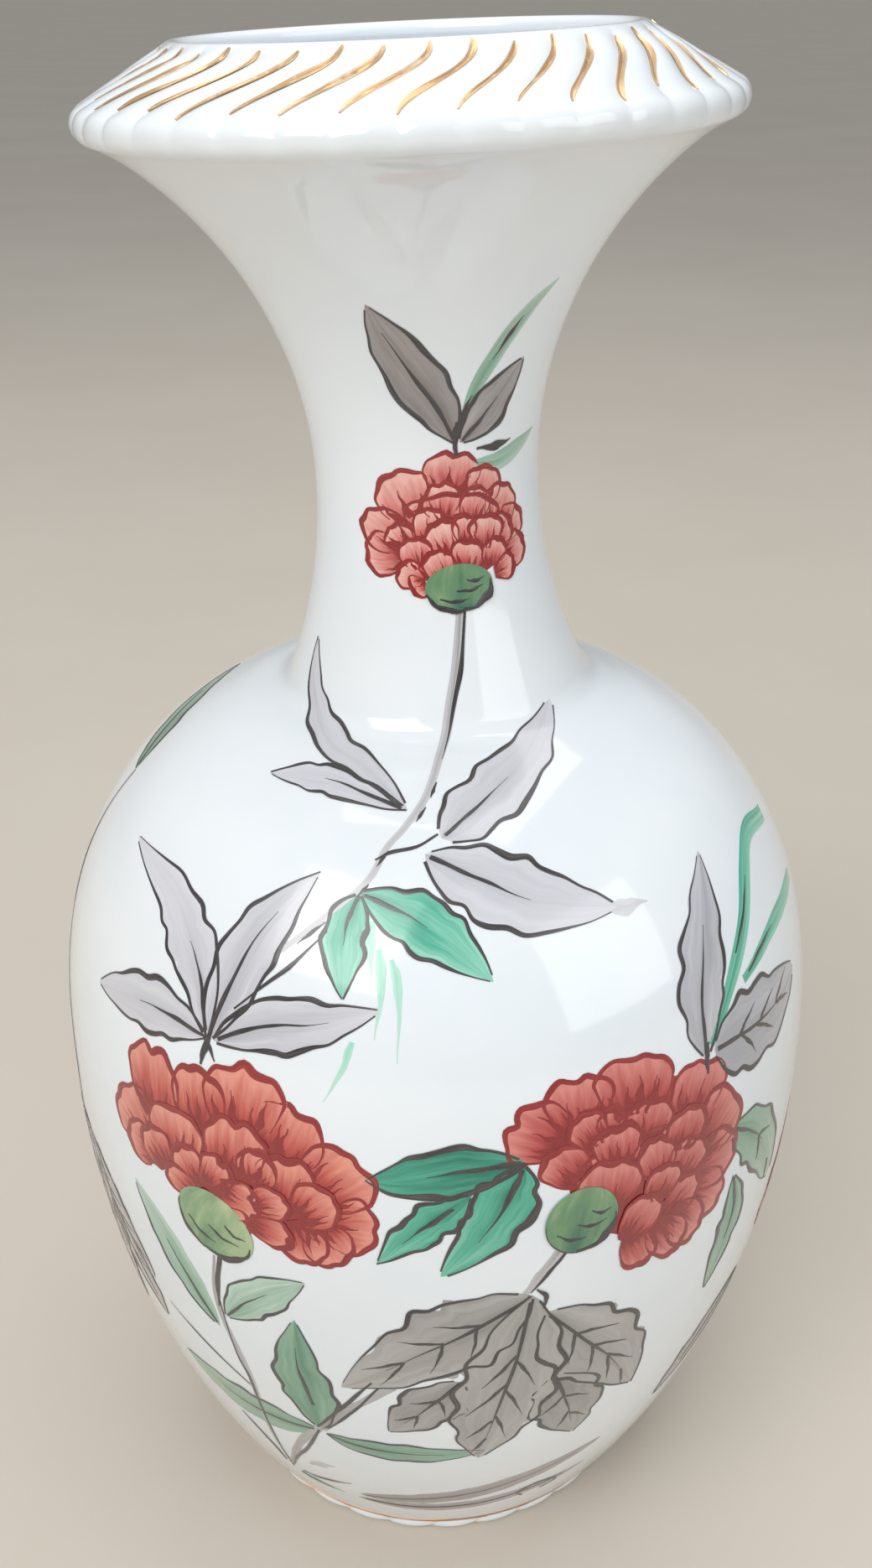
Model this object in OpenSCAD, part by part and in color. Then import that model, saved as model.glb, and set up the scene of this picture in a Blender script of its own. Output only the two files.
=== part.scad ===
// Baluster vase with a trumpet neck, an inward-sloping gadrooned mouth and painted, gilded decoration.
// Millimetres, +Z up. The origin is the centre of the foot on the surface it stands on.
// Azimuths run from the front of the vase (-Y) towards +X.

/* [Overall] */
// Height from the foot to the lip
total_h = 400; // [392:1:420]
// Lean of the neck and mouth to the left, in degrees
lean = 2.4; // [0:0.1:3]

/* [Foot] */
// Radius of the foot where it meets the table
foot_r = 60.5; // [58:0.5:63]
// Height of the foot bead
foot_h = 6.4; // [5:0.1:8]
// Number of lobes on the foot bead
foot_lobes = 30; // [12:1:40]

/* [Belly] */
// Greatest radius of the belly
belly_r = 102; // [98:1:108]
// Height of the greatest radius
belly_z = 148; // [140:1:155]
// Fullness of the shoulder, 2 is an ellipse
shoulder_power = 2.44; // [2.2:0.02:2.6]
// Wall thickness of the belly
belly_wall = 6; // [5:0.5:7]
// Thickness of the floor
floor_t = 7; // [5:0.5:9]

/* [Neck] */
// Height of the seam where the neck is luted to the shoulder
shoulder_seam_z = 250; // [248:1:252]
// Outer radius at the shoulder seam
shoulder_seam_r = 39; // [38:0.5:41]
// Height of the waist of the neck
waist_z = 304; // [300:1:308]
// Outer radius of the waist
waist_r = 27; // [26:0.5:28.5]
// Wall thickness of the neck
neck_wall = 5; // [4:0.5:5.5]

/* [Mouth] */
// Distance from the lip down to the widest edge
edge_drop = 15; // [14:0.5:17]
// Radius of the widest edge
edge_r = 73.5; // [72:0.5:75]
// Rounding of the widest edge
edge_round = 4; // [3.5:0.1:4.5]
// Radius of the lip round the opening
lip_r = 50.5; // [49:0.5:52]
// Rounding of the lip
lip_round = 2.1; // [1.8:0.1:2.4]
// Thickness of the sloping mouth wall
mouth_wall = 5; // [4.5:0.1:5.5]
// Number of gadroons round the mouth
ribs = 40; // [24:1:48]
// Turn of each groove from the lip to the edge, in degrees
rib_swirl = 15.5; // [10:0.5:18]

/* [Decoration] */
// Thickness of the painted enamel
enamel_t = 0.2; // [0.15:0.05:0.3]
// Thickness of the gold
gold_t = 0.3; // [0.25:0.05:0.4]

/* [Hidden] */
$fn = 96;
glaze = [0.93, 0.95, 0.97];
gold = [0.78, 0.60, 0.34];
red = [0.72, 0.27, 0.22];
calyx_green = [0.37, 0.55, 0.32];
grey = [0.62, 0.60, 0.61];
green = [0.45, 0.63, 0.50];
teal = [0.25, 0.65, 0.54];
stem_grey = [0.36, 0.34, 0.35];

// Lower belly: one arc from the foot to the greatest radius
low_rise = belly_z;
low_swell = belly_r - foot_r;
low_arc = (low_rise * low_rise + low_swell * low_swell) / (2 * low_swell);
low_start = -asin((belly_z - foot_h) / low_arc);
low_steps = 14;
// Shoulder: a superellipse from the greatest radius up to the seam
seam_share = shoulder_seam_r / belly_r;
shoulder_h = (shoulder_seam_z - belly_z) / pow(1 - pow(seam_share, shoulder_power), 1 / shoulder_power);
shoulder_end = acos(pow(seam_share, shoulder_power / 2));
shoulder_steps = 20;
// Neck: two arcs that meet at the waist
collar_seam_z = total_h - edge_drop - edge_round;
seam_set_in = 0.4;
collar_seam_r = edge_r - edge_round - seam_set_in;
down_rise = waist_z - shoulder_seam_z;
down_swell = shoulder_seam_r - waist_r;
down_arc = (down_rise * down_rise + down_swell * down_swell) / (2 * down_swell);
up_rise = collar_seam_z - waist_z;
up_swell = collar_seam_r - waist_r;
up_arc = (up_rise * up_rise + up_swell * up_swell) / (2 * up_swell);
neck_steps = 16;
overrun = 3;
// Mouth: a cone tangent to the rounded edge and the rounded lip
edge_c = [edge_r - edge_round, total_h - edge_drop];
lip_c = [lip_r, total_h - lip_round];
slope_len = norm(lip_c - edge_c);
slope_dir = atan2(lip_c[1] - edge_c[1], lip_c[0] - edge_c[0]);
slope_normal = slope_dir - 90 + asin((edge_round - lip_round) / slope_len);
slope_n = [cos(slope_normal), sin(slope_normal)];
slope_low = edge_c + edge_round * slope_n;
slope_top = lip_c + lip_round * slope_n;
inner_seam_r = waist_r + up_arc - sqrt(pow(up_arc + neck_wall, 2) - up_rise * up_rise);
// Luting registers: the tongue of one section sits in the rebate of the next
register_h = 3;
shoulder_tongue = [33.5, 36];
tongue_margin = 0.6;
tongue_t = 2.8;
tongue_bite = 0.5;
collar_tongue = [inner_seam_r + tongue_margin, inner_seam_r + tongue_margin + tongue_t];
foot_in_r = 52;
boss_h = 1;
// Inside of the belly where the wall turns into the floor
floor_cove_h = 2;
floor_cove_r = 4;
// Inside corner of the mouth, set back from the outer edge
shelf_run = 7.4;
shelf_drop = mouth_wall - 3.6;
lip_end = 240;
round_steps = 8;
// Steps round a circle of the thin gold and of the long slim leaves
fine = 360;
// Grooves between the gadroons
groove_r = 1.6;
groove_lift = 1.2;
groove_from = 0.04;
groove_to = 0.97;
notch_r = 1.2;
notch_tilt = 40;
notch_len = 8;
bead_bulge = 2.6;
bead_inset = 0.6;
bead_turn = 70;
bead_shoulder = 0.9;
gold_line_h = 1.2;
gold_line_slant = 0.7;
// How far outlines are thrown on to the wall, and the height they drop from
reach = 130;
drop_from = belly_z + 40;
strip_r = 0.9 * belly_r;
trim_h = 10;

// Leaves: [azimuth, height of the twig they grow from, turn clockwise from upright, length, width]
leaf_gap = 5;
neck_grey = [[15, 315, -25, 32, 11], [18, 315, 38, 17, 8]];
neck_green = [[26, 320, 30, 26, 4], [22, 309, 84, 14, 4]];
side_grey = [[13, 133, -128, 50, 15], [13, 133, -173, 58, 21], [13, 133, 146, 54, 19],
    [-14, 33, 72, 50, 4], [-16, 25, 83, 50, 4],
    [-33, 193, -95, 40, 11], [-33, 193, -54, 40, 13], [-33, 193, 20, 40, 13], [-33, 193, 66, 36, 10],
    [40, 185, 24, 38, 13], [40, 185, 84, 38, 17], [64, 94, 212, 36, 12],
    [-76, 136, 132, 44, 16], [-78, 136, 176, 48, 19], [-80, 134, 222, 44, 17],
    [147, 191, -70, 38, 12], [148, 192, -14, 38, 13], [148, 192, 46, 36, 12],
    [-148, 194, -50, 38, 12], [-148, 194, 4, 38, 13], [-148, 194, 60, 36, 11],
    [180, 128, -130, 46, 15], [180, 128, 180, 52, 20], [180, 128, 132, 46, 16]];
side_green = [[-35, 102, -32, 36, 7], [-31, 110, 46, 22, 9], [-19, 70, -2, 38, 15],
    [-19, 70, -72, 34, 8], [-19, 70, 98, 32, 8], [45, 160, 142, 38, 12], [46, 141, 188, 32, 6],
    [126, 66, -40, 36, 9], [126, 66, 8, 38, 14], [126, 66, 70, 34, 9],
    [-122, 70, -48, 34, 9], [-122, 70, 30, 38, 13]];
side_teal = [[13, 173, -96, 34, 10], [13, 171, -128, 40, 9], [13, 168, -154, 28, 7],
    [-13, 229, 116, 30, 10], [-13, 229, 184, 16, 8], [52, 194, 52, 30, 3],
    [190, 172, -92, 32, 10], [190, 170, -128, 36, 10]];
// Leaves on the shoulder, seen from above: [azimuth, radius of the twig, turn from inwards, length, width]
top_grey = [[-7, 59, -41, 44, 8], [-7, 59, -74, 30, 7], [2, 67, 37, 44, 14], [-2, 69, 90, 42, 12],
    [176, 62, 60, 40, 12], [170, 62, -60, 40, 12]];
top_green = [[-88, 86, 30, 34, 12]];
// Blooms: [azimuth, height, half width, half height, turn]
blooms = [[-29, 166, 36, 22, 14], [29, 165, 37, 26, 38], [84, 116, 30, 22, -20],
    [148, 162, 35, 24, -14], [-148, 164, 35, 24, 16]];
neck_bloom = [10.5, 299, 17.5, 14.5, 0];
// Calyxes: [azimuth, height, radius]
calyxes = [[-31, 144, 9], [19, 151, 9], [80, 94, 8], [151, 138, 9], [-151, 141, 9]];
neck_calyx = [13.5, 283, 5.5];
// Stems: [azimuth, height] from point to point
side_stems = [[[-31, 134], [-34, 111], [-30, 86], [-31, 36]], [[17, 141], [13, 135]],
    [[-18, 68], [-26, 46]], [[-17, 76], [-6, 99]], [[80, 85], [76, 50]],
    [[152, 128], [140, 100], [128, 72]], [[-151, 131], [-138, 100], [-124, 72]]];
top_stem = [[-1, 44], [-8, 66], [-13, 76], [-20, 86]];
stem_w = 1.6;
// Stem under the neck bloom: [azimuth, height, length]
neck_stem = [12, 268, 20];

function polar(c, r, a) = [c[0] + r * cos(a), c[1] + r * sin(a)];
function arc(c, r, from, to, steps) = [for (i = [0:steps]) polar(c, r, from + (to - from) * i / steps)];

// A point t outside the lower belly, and outside the shoulder
function low_pt(i, t) = polar([belly_r - low_arc, belly_z], low_arc + t, low_start * (1 - i / low_steps));
function shoulder_raw(a) = [belly_r * pow(cos(a), 2 / shoulder_power),
    shoulder_h * pow(sin(a), 2 / shoulder_power)];
function shoulder_n(p) = let (g = [pow(p[0] / belly_r, shoulder_power - 1) / belly_r,
    pow(p[1] / shoulder_h, shoulder_power - 1) / shoulder_h]) g / norm(g);
function shoulder_pt(i, t) = let (p = shoulder_raw(shoulder_end * i / shoulder_steps))
    p + [0, belly_z] + t * shoulder_n(p);
function belly_curve(t) = concat([for (i = [0:low_steps]) low_pt(i, t)],
    [for (i = [1:shoulder_steps]) shoulder_pt(i, t)]);
function reversed(list) = [for (i = [len(list) - 1:-1:0]) list[i]];

// The neck's wall, t outside the glaze
function down_curve(t) = arc([waist_r + down_arc, waist_z], down_arc - t,
    180 + asin((down_rise + overrun) / down_arc), 180, neck_steps);
function up_curve(t) = arc([waist_r + up_arc, waist_z], up_arc - t,
    180, 180 - asin(up_rise / (up_arc - t)), neck_steps);
function neck_curve(t) = concat(down_curve(t), [for (i = [1:neck_steps]) up_curve(t)[i]]);

module leaning() {
    translate([0, 0, shoulder_seam_z])
        rotate([0, -lean, 0])
            translate([0, 0, -shoulder_seam_z])
                children();
}

module spun(points) {
    rotate_extrude()
        polygon(points);
}

module tube(r_in, r_out, z0, z1) {
    spun([[r_in, z0], [r_out, z0], [r_out, z1], [r_in, z1]]);
}

// One slanted cutter per gadroon, lying along the sloping mouth
module mouth_cutters() {
    for (i = [0:ribs - 1])
        rotate([0, 0, i * 360 / ribs])
            mouth_cutter();
}

module mouth_cutter() {
    top = slope_top + groove_from * (slope_low - slope_top) + groove_lift * slope_n;
    low = slope_top + groove_to * (slope_low - slope_top) + groove_lift * slope_n;
    start = [0, -top[0], top[1]];
    end = [-low[0] * sin(rib_swirl), -low[0] * cos(rib_swirl), low[1]];
    along = end - start;
    translate(start)
        rotate([0, acos(along[2] / norm(along)), atan2(along[1], along[0])])
            cylinder(h = norm(along), r = groove_r);
}

// The collar's outline, with its sloping top lowered by sink
module collar_outline(sink) {
    spun(concat([[inner_seam_r, collar_seam_z], [collar_seam_r, collar_seam_z]],
        arc(edge_c, edge_round - sink, -90, slope_normal, round_steps),
        arc(lip_c, lip_round - sink, slope_normal, lip_end, round_steps),
        [slope_low - [shelf_run, 0] - shelf_drop * slope_n]));
}

module foot_outline(sink) {
    spun(concat([[foot_in_r, 0], [foot_r, 0]],
        arc([foot_r - bead_inset, foot_h / 2], foot_h / 2 - sink, -bead_turn, bead_turn, round_steps),
        [[foot_r + bead_shoulder, foot_h], [foot_in_r, foot_h]]));
}

module foot_cutters() {
    for (i = [0:foot_lobes - 1])
        rotate([0, 0, (i + 0.5) * 360 / foot_lobes])
            translate([0, -(foot_r + bead_bulge), foot_h / 2])
                rotate([0, notch_tilt, 0])
                    cylinder(h = notch_len, r = notch_r, center = true);
}

// An outline standing upright in front of the wall, thrown outwards from the axis
module outward(azimuth, z) {
    rotate([0, 0, azimuth])
        translate([0, 0, z])
            rotate([90, 0, 0])
                linear_extrude(height = reach)
                    children();
}

// An outline lying above the shoulder, dropped on to it
module downward(azimuth, r) {
    rotate([0, 0, azimuth])
        translate([0, -r, drop_from])
            linear_extrude(height = shoulder_seam_z - belly_z)
                children();
}

module leaf(turn, length, width) {
    bow = (length * length + width * width) / (4 * width);
    rotate(-turn)
        intersection() {
            translate([bow - width / 2, leaf_gap + length / 2])
                circle(bow, $fn = fine);
            translate([width / 2 - bow, leaf_gap + length / 2])
                circle(bow, $fn = fine);
        }
}

module bloom(half_w, half_h, turn) {
    petals = 11;
    notch = 0.1;
    steps = 66;
    rotate(-turn)
        polygon([for (i = [0:steps - 1]) let (a = i * 360 / steps, k = 1 - notch * abs(cos(a * petals / 2)))
            [k * half_w * cos(a), k * half_h * sin(a)]]);
}

module belly_calyxes() {
    for (c = calyxes)
        outward(c[0], c[1])
            circle(c[2]);
}

module belly_skin() {
    spun(concat(belly_curve(enamel_t), reversed(belly_curve(0))));
}

module neck_skin() {
    leaning()
        spun(concat(neck_curve(enamel_t), reversed(neck_curve(0))));
}

module side_leaves(list) {
    intersection() {
        belly_skin();
        for (l = list)
            outward(l[0], l[1])
                leaf(l[2], l[3], l[4]);
    }
}

module top_leaves(list) {
    intersection() {
        belly_skin();
        for (l = list)
            downward(l[0], l[1])
                leaf(l[2], l[3], l[4]);
    }
}

module neck_leaves(list) {
    intersection() {
        neck_skin();
        leaning()
            for (l = list)
                outward(l[0], l[1])
                    leaf(l[2], l[3], l[4]);
    }
}

// A strip of stem between two points of the wall
module side_strip(a, b) {
    middle = (a + b) / 2;
    across = (b[0] - a[0]) * PI / 180 * strip_r;
    outward(middle[0], middle[1])
        rotate(atan2(b[1] - a[1], across))
            square([norm([across, b[1] - a[1]]), stem_w], center = true);
}

module top_strip(a, b) {
    start = b[1] * [sin(b[0]), -cos(b[0])];
    run = a[1] * [sin(a[0]), -cos(a[0])] - start;
    translate([start[0], start[1], drop_from])
        rotate(atan2(run[1], run[0]))
            translate([0, -stem_w / 2, 0])
                cube([norm(run), stem_w, shoulder_seam_z - belly_z]);
}

module foot_ring() {
    color(glaze)
        difference() {
            foot_outline(0);
            foot_cutters();
        }
}

module body() {
    inner = belly_curve(-belly_wall);
    floor_z = foot_h + floor_t;
    wall = [for (p = inner) if (p[1] > floor_z + floor_cove_h) p];
    color(glaze)
        spun(concat([[0, foot_h - boss_h], [foot_in_r, foot_h - boss_h], [foot_in_r, foot_h]],
            belly_curve(0),
            [[shoulder_tongue[1], shoulder_seam_z], [shoulder_tongue[1], shoulder_seam_z - register_h],
                [shoulder_tongue[0], shoulder_seam_z - register_h],
                [shoulder_tongue[0], shoulder_seam_z - belly_wall + tongue_margin]],
            reversed(wall),
            [[wall[0][0] - floor_cove_r, floor_z], [0, floor_z]]));
}

module neck() {
    color(glaze)
        union() {
            difference() {
                leaning()
                    spun(concat(neck_curve(0), reversed(neck_curve(-neck_wall))));
                translate([0, 0, shoulder_seam_z - trim_h])
                    cube([2 * belly_r, 2 * belly_r, 2 * trim_h], center = true);
                leaning()
                    tube(collar_tongue[0], collar_tongue[1], collar_seam_z - register_h,
                        collar_seam_z + 2 * tongue_bite);
            }
            tube(shoulder_tongue[0], shoulder_tongue[1], shoulder_seam_z - register_h,
                shoulder_seam_z + tongue_bite);
        }
}

module mouth_collar() {
    color(glaze)
        leaning()
            union() {
                difference() {
                    collar_outline(0);
                    mouth_cutters();
                }
                tube(collar_tongue[0], collar_tongue[1], collar_seam_z - register_h,
                    collar_seam_z + tongue_bite);
            }
}

module rim_gilding() {
    $fn = fine;
    color(gold)
        leaning()
            intersection() {
                collar_outline(gold_t);
                mouth_cutters();
            }
}

module foot_gilding() {
    $fn = fine;
    color(gold) {
        intersection() {
            foot_outline(gold_t);
            foot_cutters();
        }
        spun([low_pt(0, 0), low_pt(0, gold_t), low_pt(0, gold_t) + [gold_line_slant, gold_line_h],
            low_pt(0, 0) + [gold_line_slant, gold_line_h]]);
    }
}

module bloom_enamel() {
    color(red) {
        intersection() {
            belly_skin();
            difference() {
                for (b = blooms)
                    outward(b[0], b[1])
                        bloom(b[2], b[3], b[4]);
                belly_calyxes();
            }
        }
        intersection() {
            neck_skin();
            leaning()
                difference() {
                    outward(neck_bloom[0], neck_bloom[1])
                        bloom(neck_bloom[2], neck_bloom[3], neck_bloom[4]);
                    outward(neck_calyx[0], neck_calyx[1])
                        circle(neck_calyx[2]);
                }
        }
    }
}

module calyx_enamel() {
    color(calyx_green) {
        intersection() {
            belly_skin();
            belly_calyxes();
        }
        intersection() {
            neck_skin();
            leaning()
                outward(neck_calyx[0], neck_calyx[1])
                    circle(neck_calyx[2]);
        }
    }
}

module grey_leaf_enamel() {
    color(grey) {
        side_leaves(side_grey);
        top_leaves(top_grey);
        neck_leaves(neck_grey);
    }
}

module green_leaf_enamel() {
    color(green) {
        side_leaves(side_green);
        top_leaves(top_green);
        neck_leaves(neck_green);
    }
}

module teal_leaf_enamel() {
    color(teal)
        side_leaves(side_teal);
}

module stem_enamel() {
    color(stem_grey) {
        intersection() {
            belly_skin();
            union() {
                for (s = side_stems)
                    for (i = [0:len(s) - 2])
                        side_strip(s[i], s[i + 1]);
                for (i = [0:len(top_stem) - 2])
                    top_strip(top_stem[i], top_stem[i + 1]);
            }
        }
        intersection() {
            neck_skin();
            leaning()
                outward(neck_stem[0], neck_stem[1])
                    square([stem_w, neck_stem[2]], center = true);
        }
    }
}

foot_ring();
body();
neck();
mouth_collar();
rim_gilding();
foot_gilding();
bloom_enamel();
calyx_enamel();
grey_leaf_enamel();
green_leaf_enamel();
teal_leaf_enamel();
stem_enamel();
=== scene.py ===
import bisect
import math
import random

import bpy
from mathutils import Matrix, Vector


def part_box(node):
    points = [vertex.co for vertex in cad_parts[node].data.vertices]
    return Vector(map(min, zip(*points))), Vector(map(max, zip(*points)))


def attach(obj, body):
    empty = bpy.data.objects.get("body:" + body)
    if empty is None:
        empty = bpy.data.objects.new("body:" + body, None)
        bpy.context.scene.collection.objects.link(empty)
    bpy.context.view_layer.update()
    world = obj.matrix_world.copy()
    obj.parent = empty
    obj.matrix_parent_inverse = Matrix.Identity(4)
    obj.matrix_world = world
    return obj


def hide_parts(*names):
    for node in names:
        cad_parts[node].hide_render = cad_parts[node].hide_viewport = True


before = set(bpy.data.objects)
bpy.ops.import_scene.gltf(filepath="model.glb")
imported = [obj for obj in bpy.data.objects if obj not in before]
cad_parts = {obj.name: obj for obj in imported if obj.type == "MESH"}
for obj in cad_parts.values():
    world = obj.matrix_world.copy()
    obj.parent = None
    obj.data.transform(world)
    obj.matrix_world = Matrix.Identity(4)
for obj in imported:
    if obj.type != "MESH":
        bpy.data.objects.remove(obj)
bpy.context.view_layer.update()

mm = 0.001

# Sizes in millimetres, angles in degrees; azimuths run from the front towards +X
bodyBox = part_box("body")
form = {
    "height": 400.0,
    "footRadius": 60.5,
    "footHeight": 6.4,
    "bellyRadius": round(bodyBox[1].x / mm, 1),
    "bellyHeight": 148.0,
    "shoulderPower": 2.44,
    "seamHeight": round(bodyBox[1].z / mm, 1),
    "seamRadius": 39.0,
    "waistHeight": 304.0,
    "waistRadius": 27.0,
    "flareHeight": 381.0,
    "flareRadius": 69.1,
    "bellyWall": 6.0,
    "neckWall": 5.0,
    "floor": 13.4,
    "coveReach": 4.0,
    "lean": 2.4,
    "leanFrom": 246.0,
    "leanTo": 254.0,
    "step": 0.25,
}


def smoothStep(value):
    value = min(1.0, max(0.0, value))
    return value * value * (3 - 2 * value)


def mixed(a, b, share):
    return a + (b - a) * share


def arcPoints(centre, radius, start, end, count):
    turns = [math.radians(mixed(start, end, i / count)) for i in range(count + 1)]
    return [(centre[0] + radius * math.cos(t), centre[1] + radius * math.sin(t)) for t in turns]


def bend(a, corner, b, count):
    # A soft curve from a to b that leaves along a-corner and arrives along corner-b
    made = []
    for i in range(count + 1):
        t = i / count
        made.append(tuple(
            (1 - t) ** 2 * a[k] + 2 * t * (1 - t) * corner[k] + t * t * b[k] for k in range(2)))
    return made


def lengthAlong(points):
    total = [0.0]
    for a, b in zip(points, points[1:]):
        total.append(total[-1] + math.hypot(b[0] - a[0], b[1] - a[1]))
    return total


def resample(points, step):
    total = lengthAlong(points)
    count = round(total[-1] / step)
    made = []
    k = 0
    for i in range(count + 1):
        along = total[-1] * i / count
        while k < len(points) - 2 and total[k + 1] < along:
            k += 1
        share = (along - total[k]) / max(1e-9, total[k + 1] - total[k])
        made.append(tuple(mixed(points[k][j], points[k + 1][j], share) for j in range(2)))
    return made


def outsideLine():
    # The meridian from the foot to the top of the flare
    rise = form["bellyHeight"]
    swell = form["bellyRadius"] - form["footRadius"]
    lowArc = (rise * rise + swell * swell) / (2 * swell)
    start = -math.degrees(math.asin((form["bellyHeight"] - form["footHeight"]) / lowArc))
    belly = arcPoints((form["bellyRadius"] - lowArc, form["bellyHeight"]), lowArc, start, 0, 400)
    power = form["shoulderPower"]
    seamShare = form["seamRadius"] / form["bellyRadius"]
    rise = (form["seamHeight"] - form["bellyHeight"]) / (1 - seamShare ** power) ** (1 / power)
    last = math.acos(seamShare ** (power / 2))
    for i in range(1, 1201):
        turn = last * (i / 1200) ** 1.6
        belly.append((form["bellyRadius"] * math.cos(turn) ** (2 / power),
                      form["bellyHeight"] + rise * math.sin(turn) ** (2 / power)))
    neck = []
    for ends in (("seamHeight", "seamRadius"), ("flareHeight", "flareRadius")):
        rise = abs(form[ends[0]] - form["waistHeight"])
        swell = form[ends[1]] - form["waistRadius"]
        radius = (rise * rise + swell * swell) / (2 * swell)
        reach = math.degrees(math.asin(rise / radius))
        centre = (form["waistRadius"] + radius, form["waistHeight"])
        if ends[0] == "seamHeight":
            neck += arcPoints(centre, radius, 180 + reach, 180, 300)
        else:
            neck += arcPoints(centre, radius, 180, 180 - reach, 300)[1:]
    reach = form["coveReach"]
    corner = belly[-1]
    belly = [p for p in belly if math.hypot(p[0] - corner[0], p[1] - corner[1]) > reach]
    neck = [p for p in neck if math.hypot(p[0] - corner[0], p[1] - corner[1]) > reach]
    return resample(belly + bend(belly[-1], corner, neck[0], 24)[1:-1] + neck, form["step"])


wallLine = outsideLine()
wallLength = lengthAlong(wallLine)
wallHeights = [p[1] for p in wallLine]


def alongAt(height):
    k = min(len(wallLine) - 1, max(1, bisect.bisect_left(wallHeights, height)))
    share = (height - wallHeights[k - 1]) / (wallHeights[k] - wallHeights[k - 1])
    return mixed(wallLength[k - 1], wallLength[k], share)


def wallAt(along):
    # Radius, height and outward normal at a distance along the meridian
    place = min(max(along / wallLength[-1], 0), 1) * (len(wallLine) - 1)
    k = min(int(place), len(wallLine) - 2)
    a = wallLine[k]
    b = wallLine[k + 1]
    before = wallLine[max(0, k - 2)]
    after = wallLine[min(len(wallLine) - 1, k + 3)]
    run = Vector((after[0] - before[0], after[1] - before[1])).normalized()
    return mixed(a[0], b[0], place - k), mixed(a[1], b[1], place - k), run.y, -run.x


def leaned(point):
    # The neck leans about the seam; the lean comes in softly through the cove
    share = smoothStep((point.z - form["leanFrom"]) / (form["leanTo"] - form["leanFrom"]))
    turn = math.radians(form["lean"]) * share
    rise = point.z - form["seamHeight"]
    return Vector((point.x * math.cos(turn) - rise * math.sin(turn), point.y,
                   form["seamHeight"] + point.x * math.sin(turn) + rise * math.cos(turn)))


def turned(radius, azimuth, height):
    turn = math.radians(azimuth)
    return Vector((radius * math.sin(turn), -radius * math.cos(turn), height))


def onWall(azimuth, along, lift):
    radius, height, outward, upward = wallAt(along)
    return leaned(turned(radius + lift * outward, azimuth, height + lift * upward)) * mm


mesh = {"spinWeld": 2e-6, "markWeld": 1e-6, "bodyAngle": 50, "ribAngle": 60, "markAngle": 40}


def deselectAll():
    if bpy.context.object and bpy.context.object.mode != "OBJECT":
        bpy.ops.object.mode_set(mode="OBJECT")
    bpy.ops.object.select_all(action="DESELECT")


def onlySelect(pieces):
    deselectAll()
    for piece in pieces:
        piece.select_set(True)
    bpy.context.view_layer.objects.active = pieces[0]


def smoothed(piece, angle):
    onlySelect([piece])
    bpy.ops.object.shade_smooth_by_angle(angle=math.radians(angle))


def spinSection(name, points, steps, meetsAxis):
    # A section drawn from a circle's vertices and spun once round the axis
    deselectAll()
    bpy.ops.mesh.primitive_circle_add(vertices=len(points), radius=1, fill_type="NOTHING")
    piece = bpy.context.object
    piece.name = name
    for vertex, point in zip(piece.data.vertices, points):
        vertex.co = (0, -point[0] * mm, point[1] * mm)
    ends = {0, len(points) - 1}
    for vertex in piece.data.vertices:
        vertex.select = vertex.index in ends
    for edge in piece.data.edges:
        edge.select = set(edge.vertices) == ends
    bpy.ops.object.mode_set(mode="EDIT")
    bpy.ops.mesh.select_mode(type="VERT")
    if meetsAxis:
        # The line along the axis goes, so that both ends close at the middle
        bpy.ops.mesh.delete(type="EDGE")
    bpy.ops.mesh.select_all(action="SELECT")
    bpy.ops.mesh.spin(steps=steps, angle=2 * math.pi, center=(0, 0, 0), axis=(0, 0, 1))
    bpy.ops.mesh.select_all(action="SELECT")
    bpy.ops.mesh.remove_doubles(threshold=mesh["spinWeld"])
    bpy.ops.mesh.normals_make_consistent(inside=False)
    bpy.ops.object.mode_set(mode="OBJECT")
    return piece


def placeVertices(piece, place):
    for vertex in piece.data.vertices:
        point = vertex.co / mm
        radius = math.hypot(point.x, point.y)
        azimuth = math.degrees(math.atan2(point.x, -point.y))
        vertex.co = place(radius, azimuth, point.z) * mm
    piece.data.update()


def nearest(points, radius, height):
    return min(range(len(points)),
               key=lambda i: (points[i][0] - radius) ** 2 + (points[i][1] - height) ** 2)


def leanPiece(piece):
    placeVertices(piece, lambda radius, azimuth, height: leaned(turned(radius, azimuth, height)))


# Finishes: shader maths is written on wires, and every other node comes from finish.node
class wire:
    def __init__(self, owner, socket):
        self.owner = owner
        self.socket = socket

    def __add__(self, other):
        return self.owner.maths("ADD", self, other)

    def __sub__(self, other):
        return self.owner.maths("SUBTRACT", self, other)

    def __mul__(self, other):
        return self.owner.maths("MULTIPLY", self, other)

    def __radd__(self, other):
        return self.owner.maths("ADD", other, self)

    def __rsub__(self, other):
        return self.owner.maths("SUBTRACT", other, self)


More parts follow.
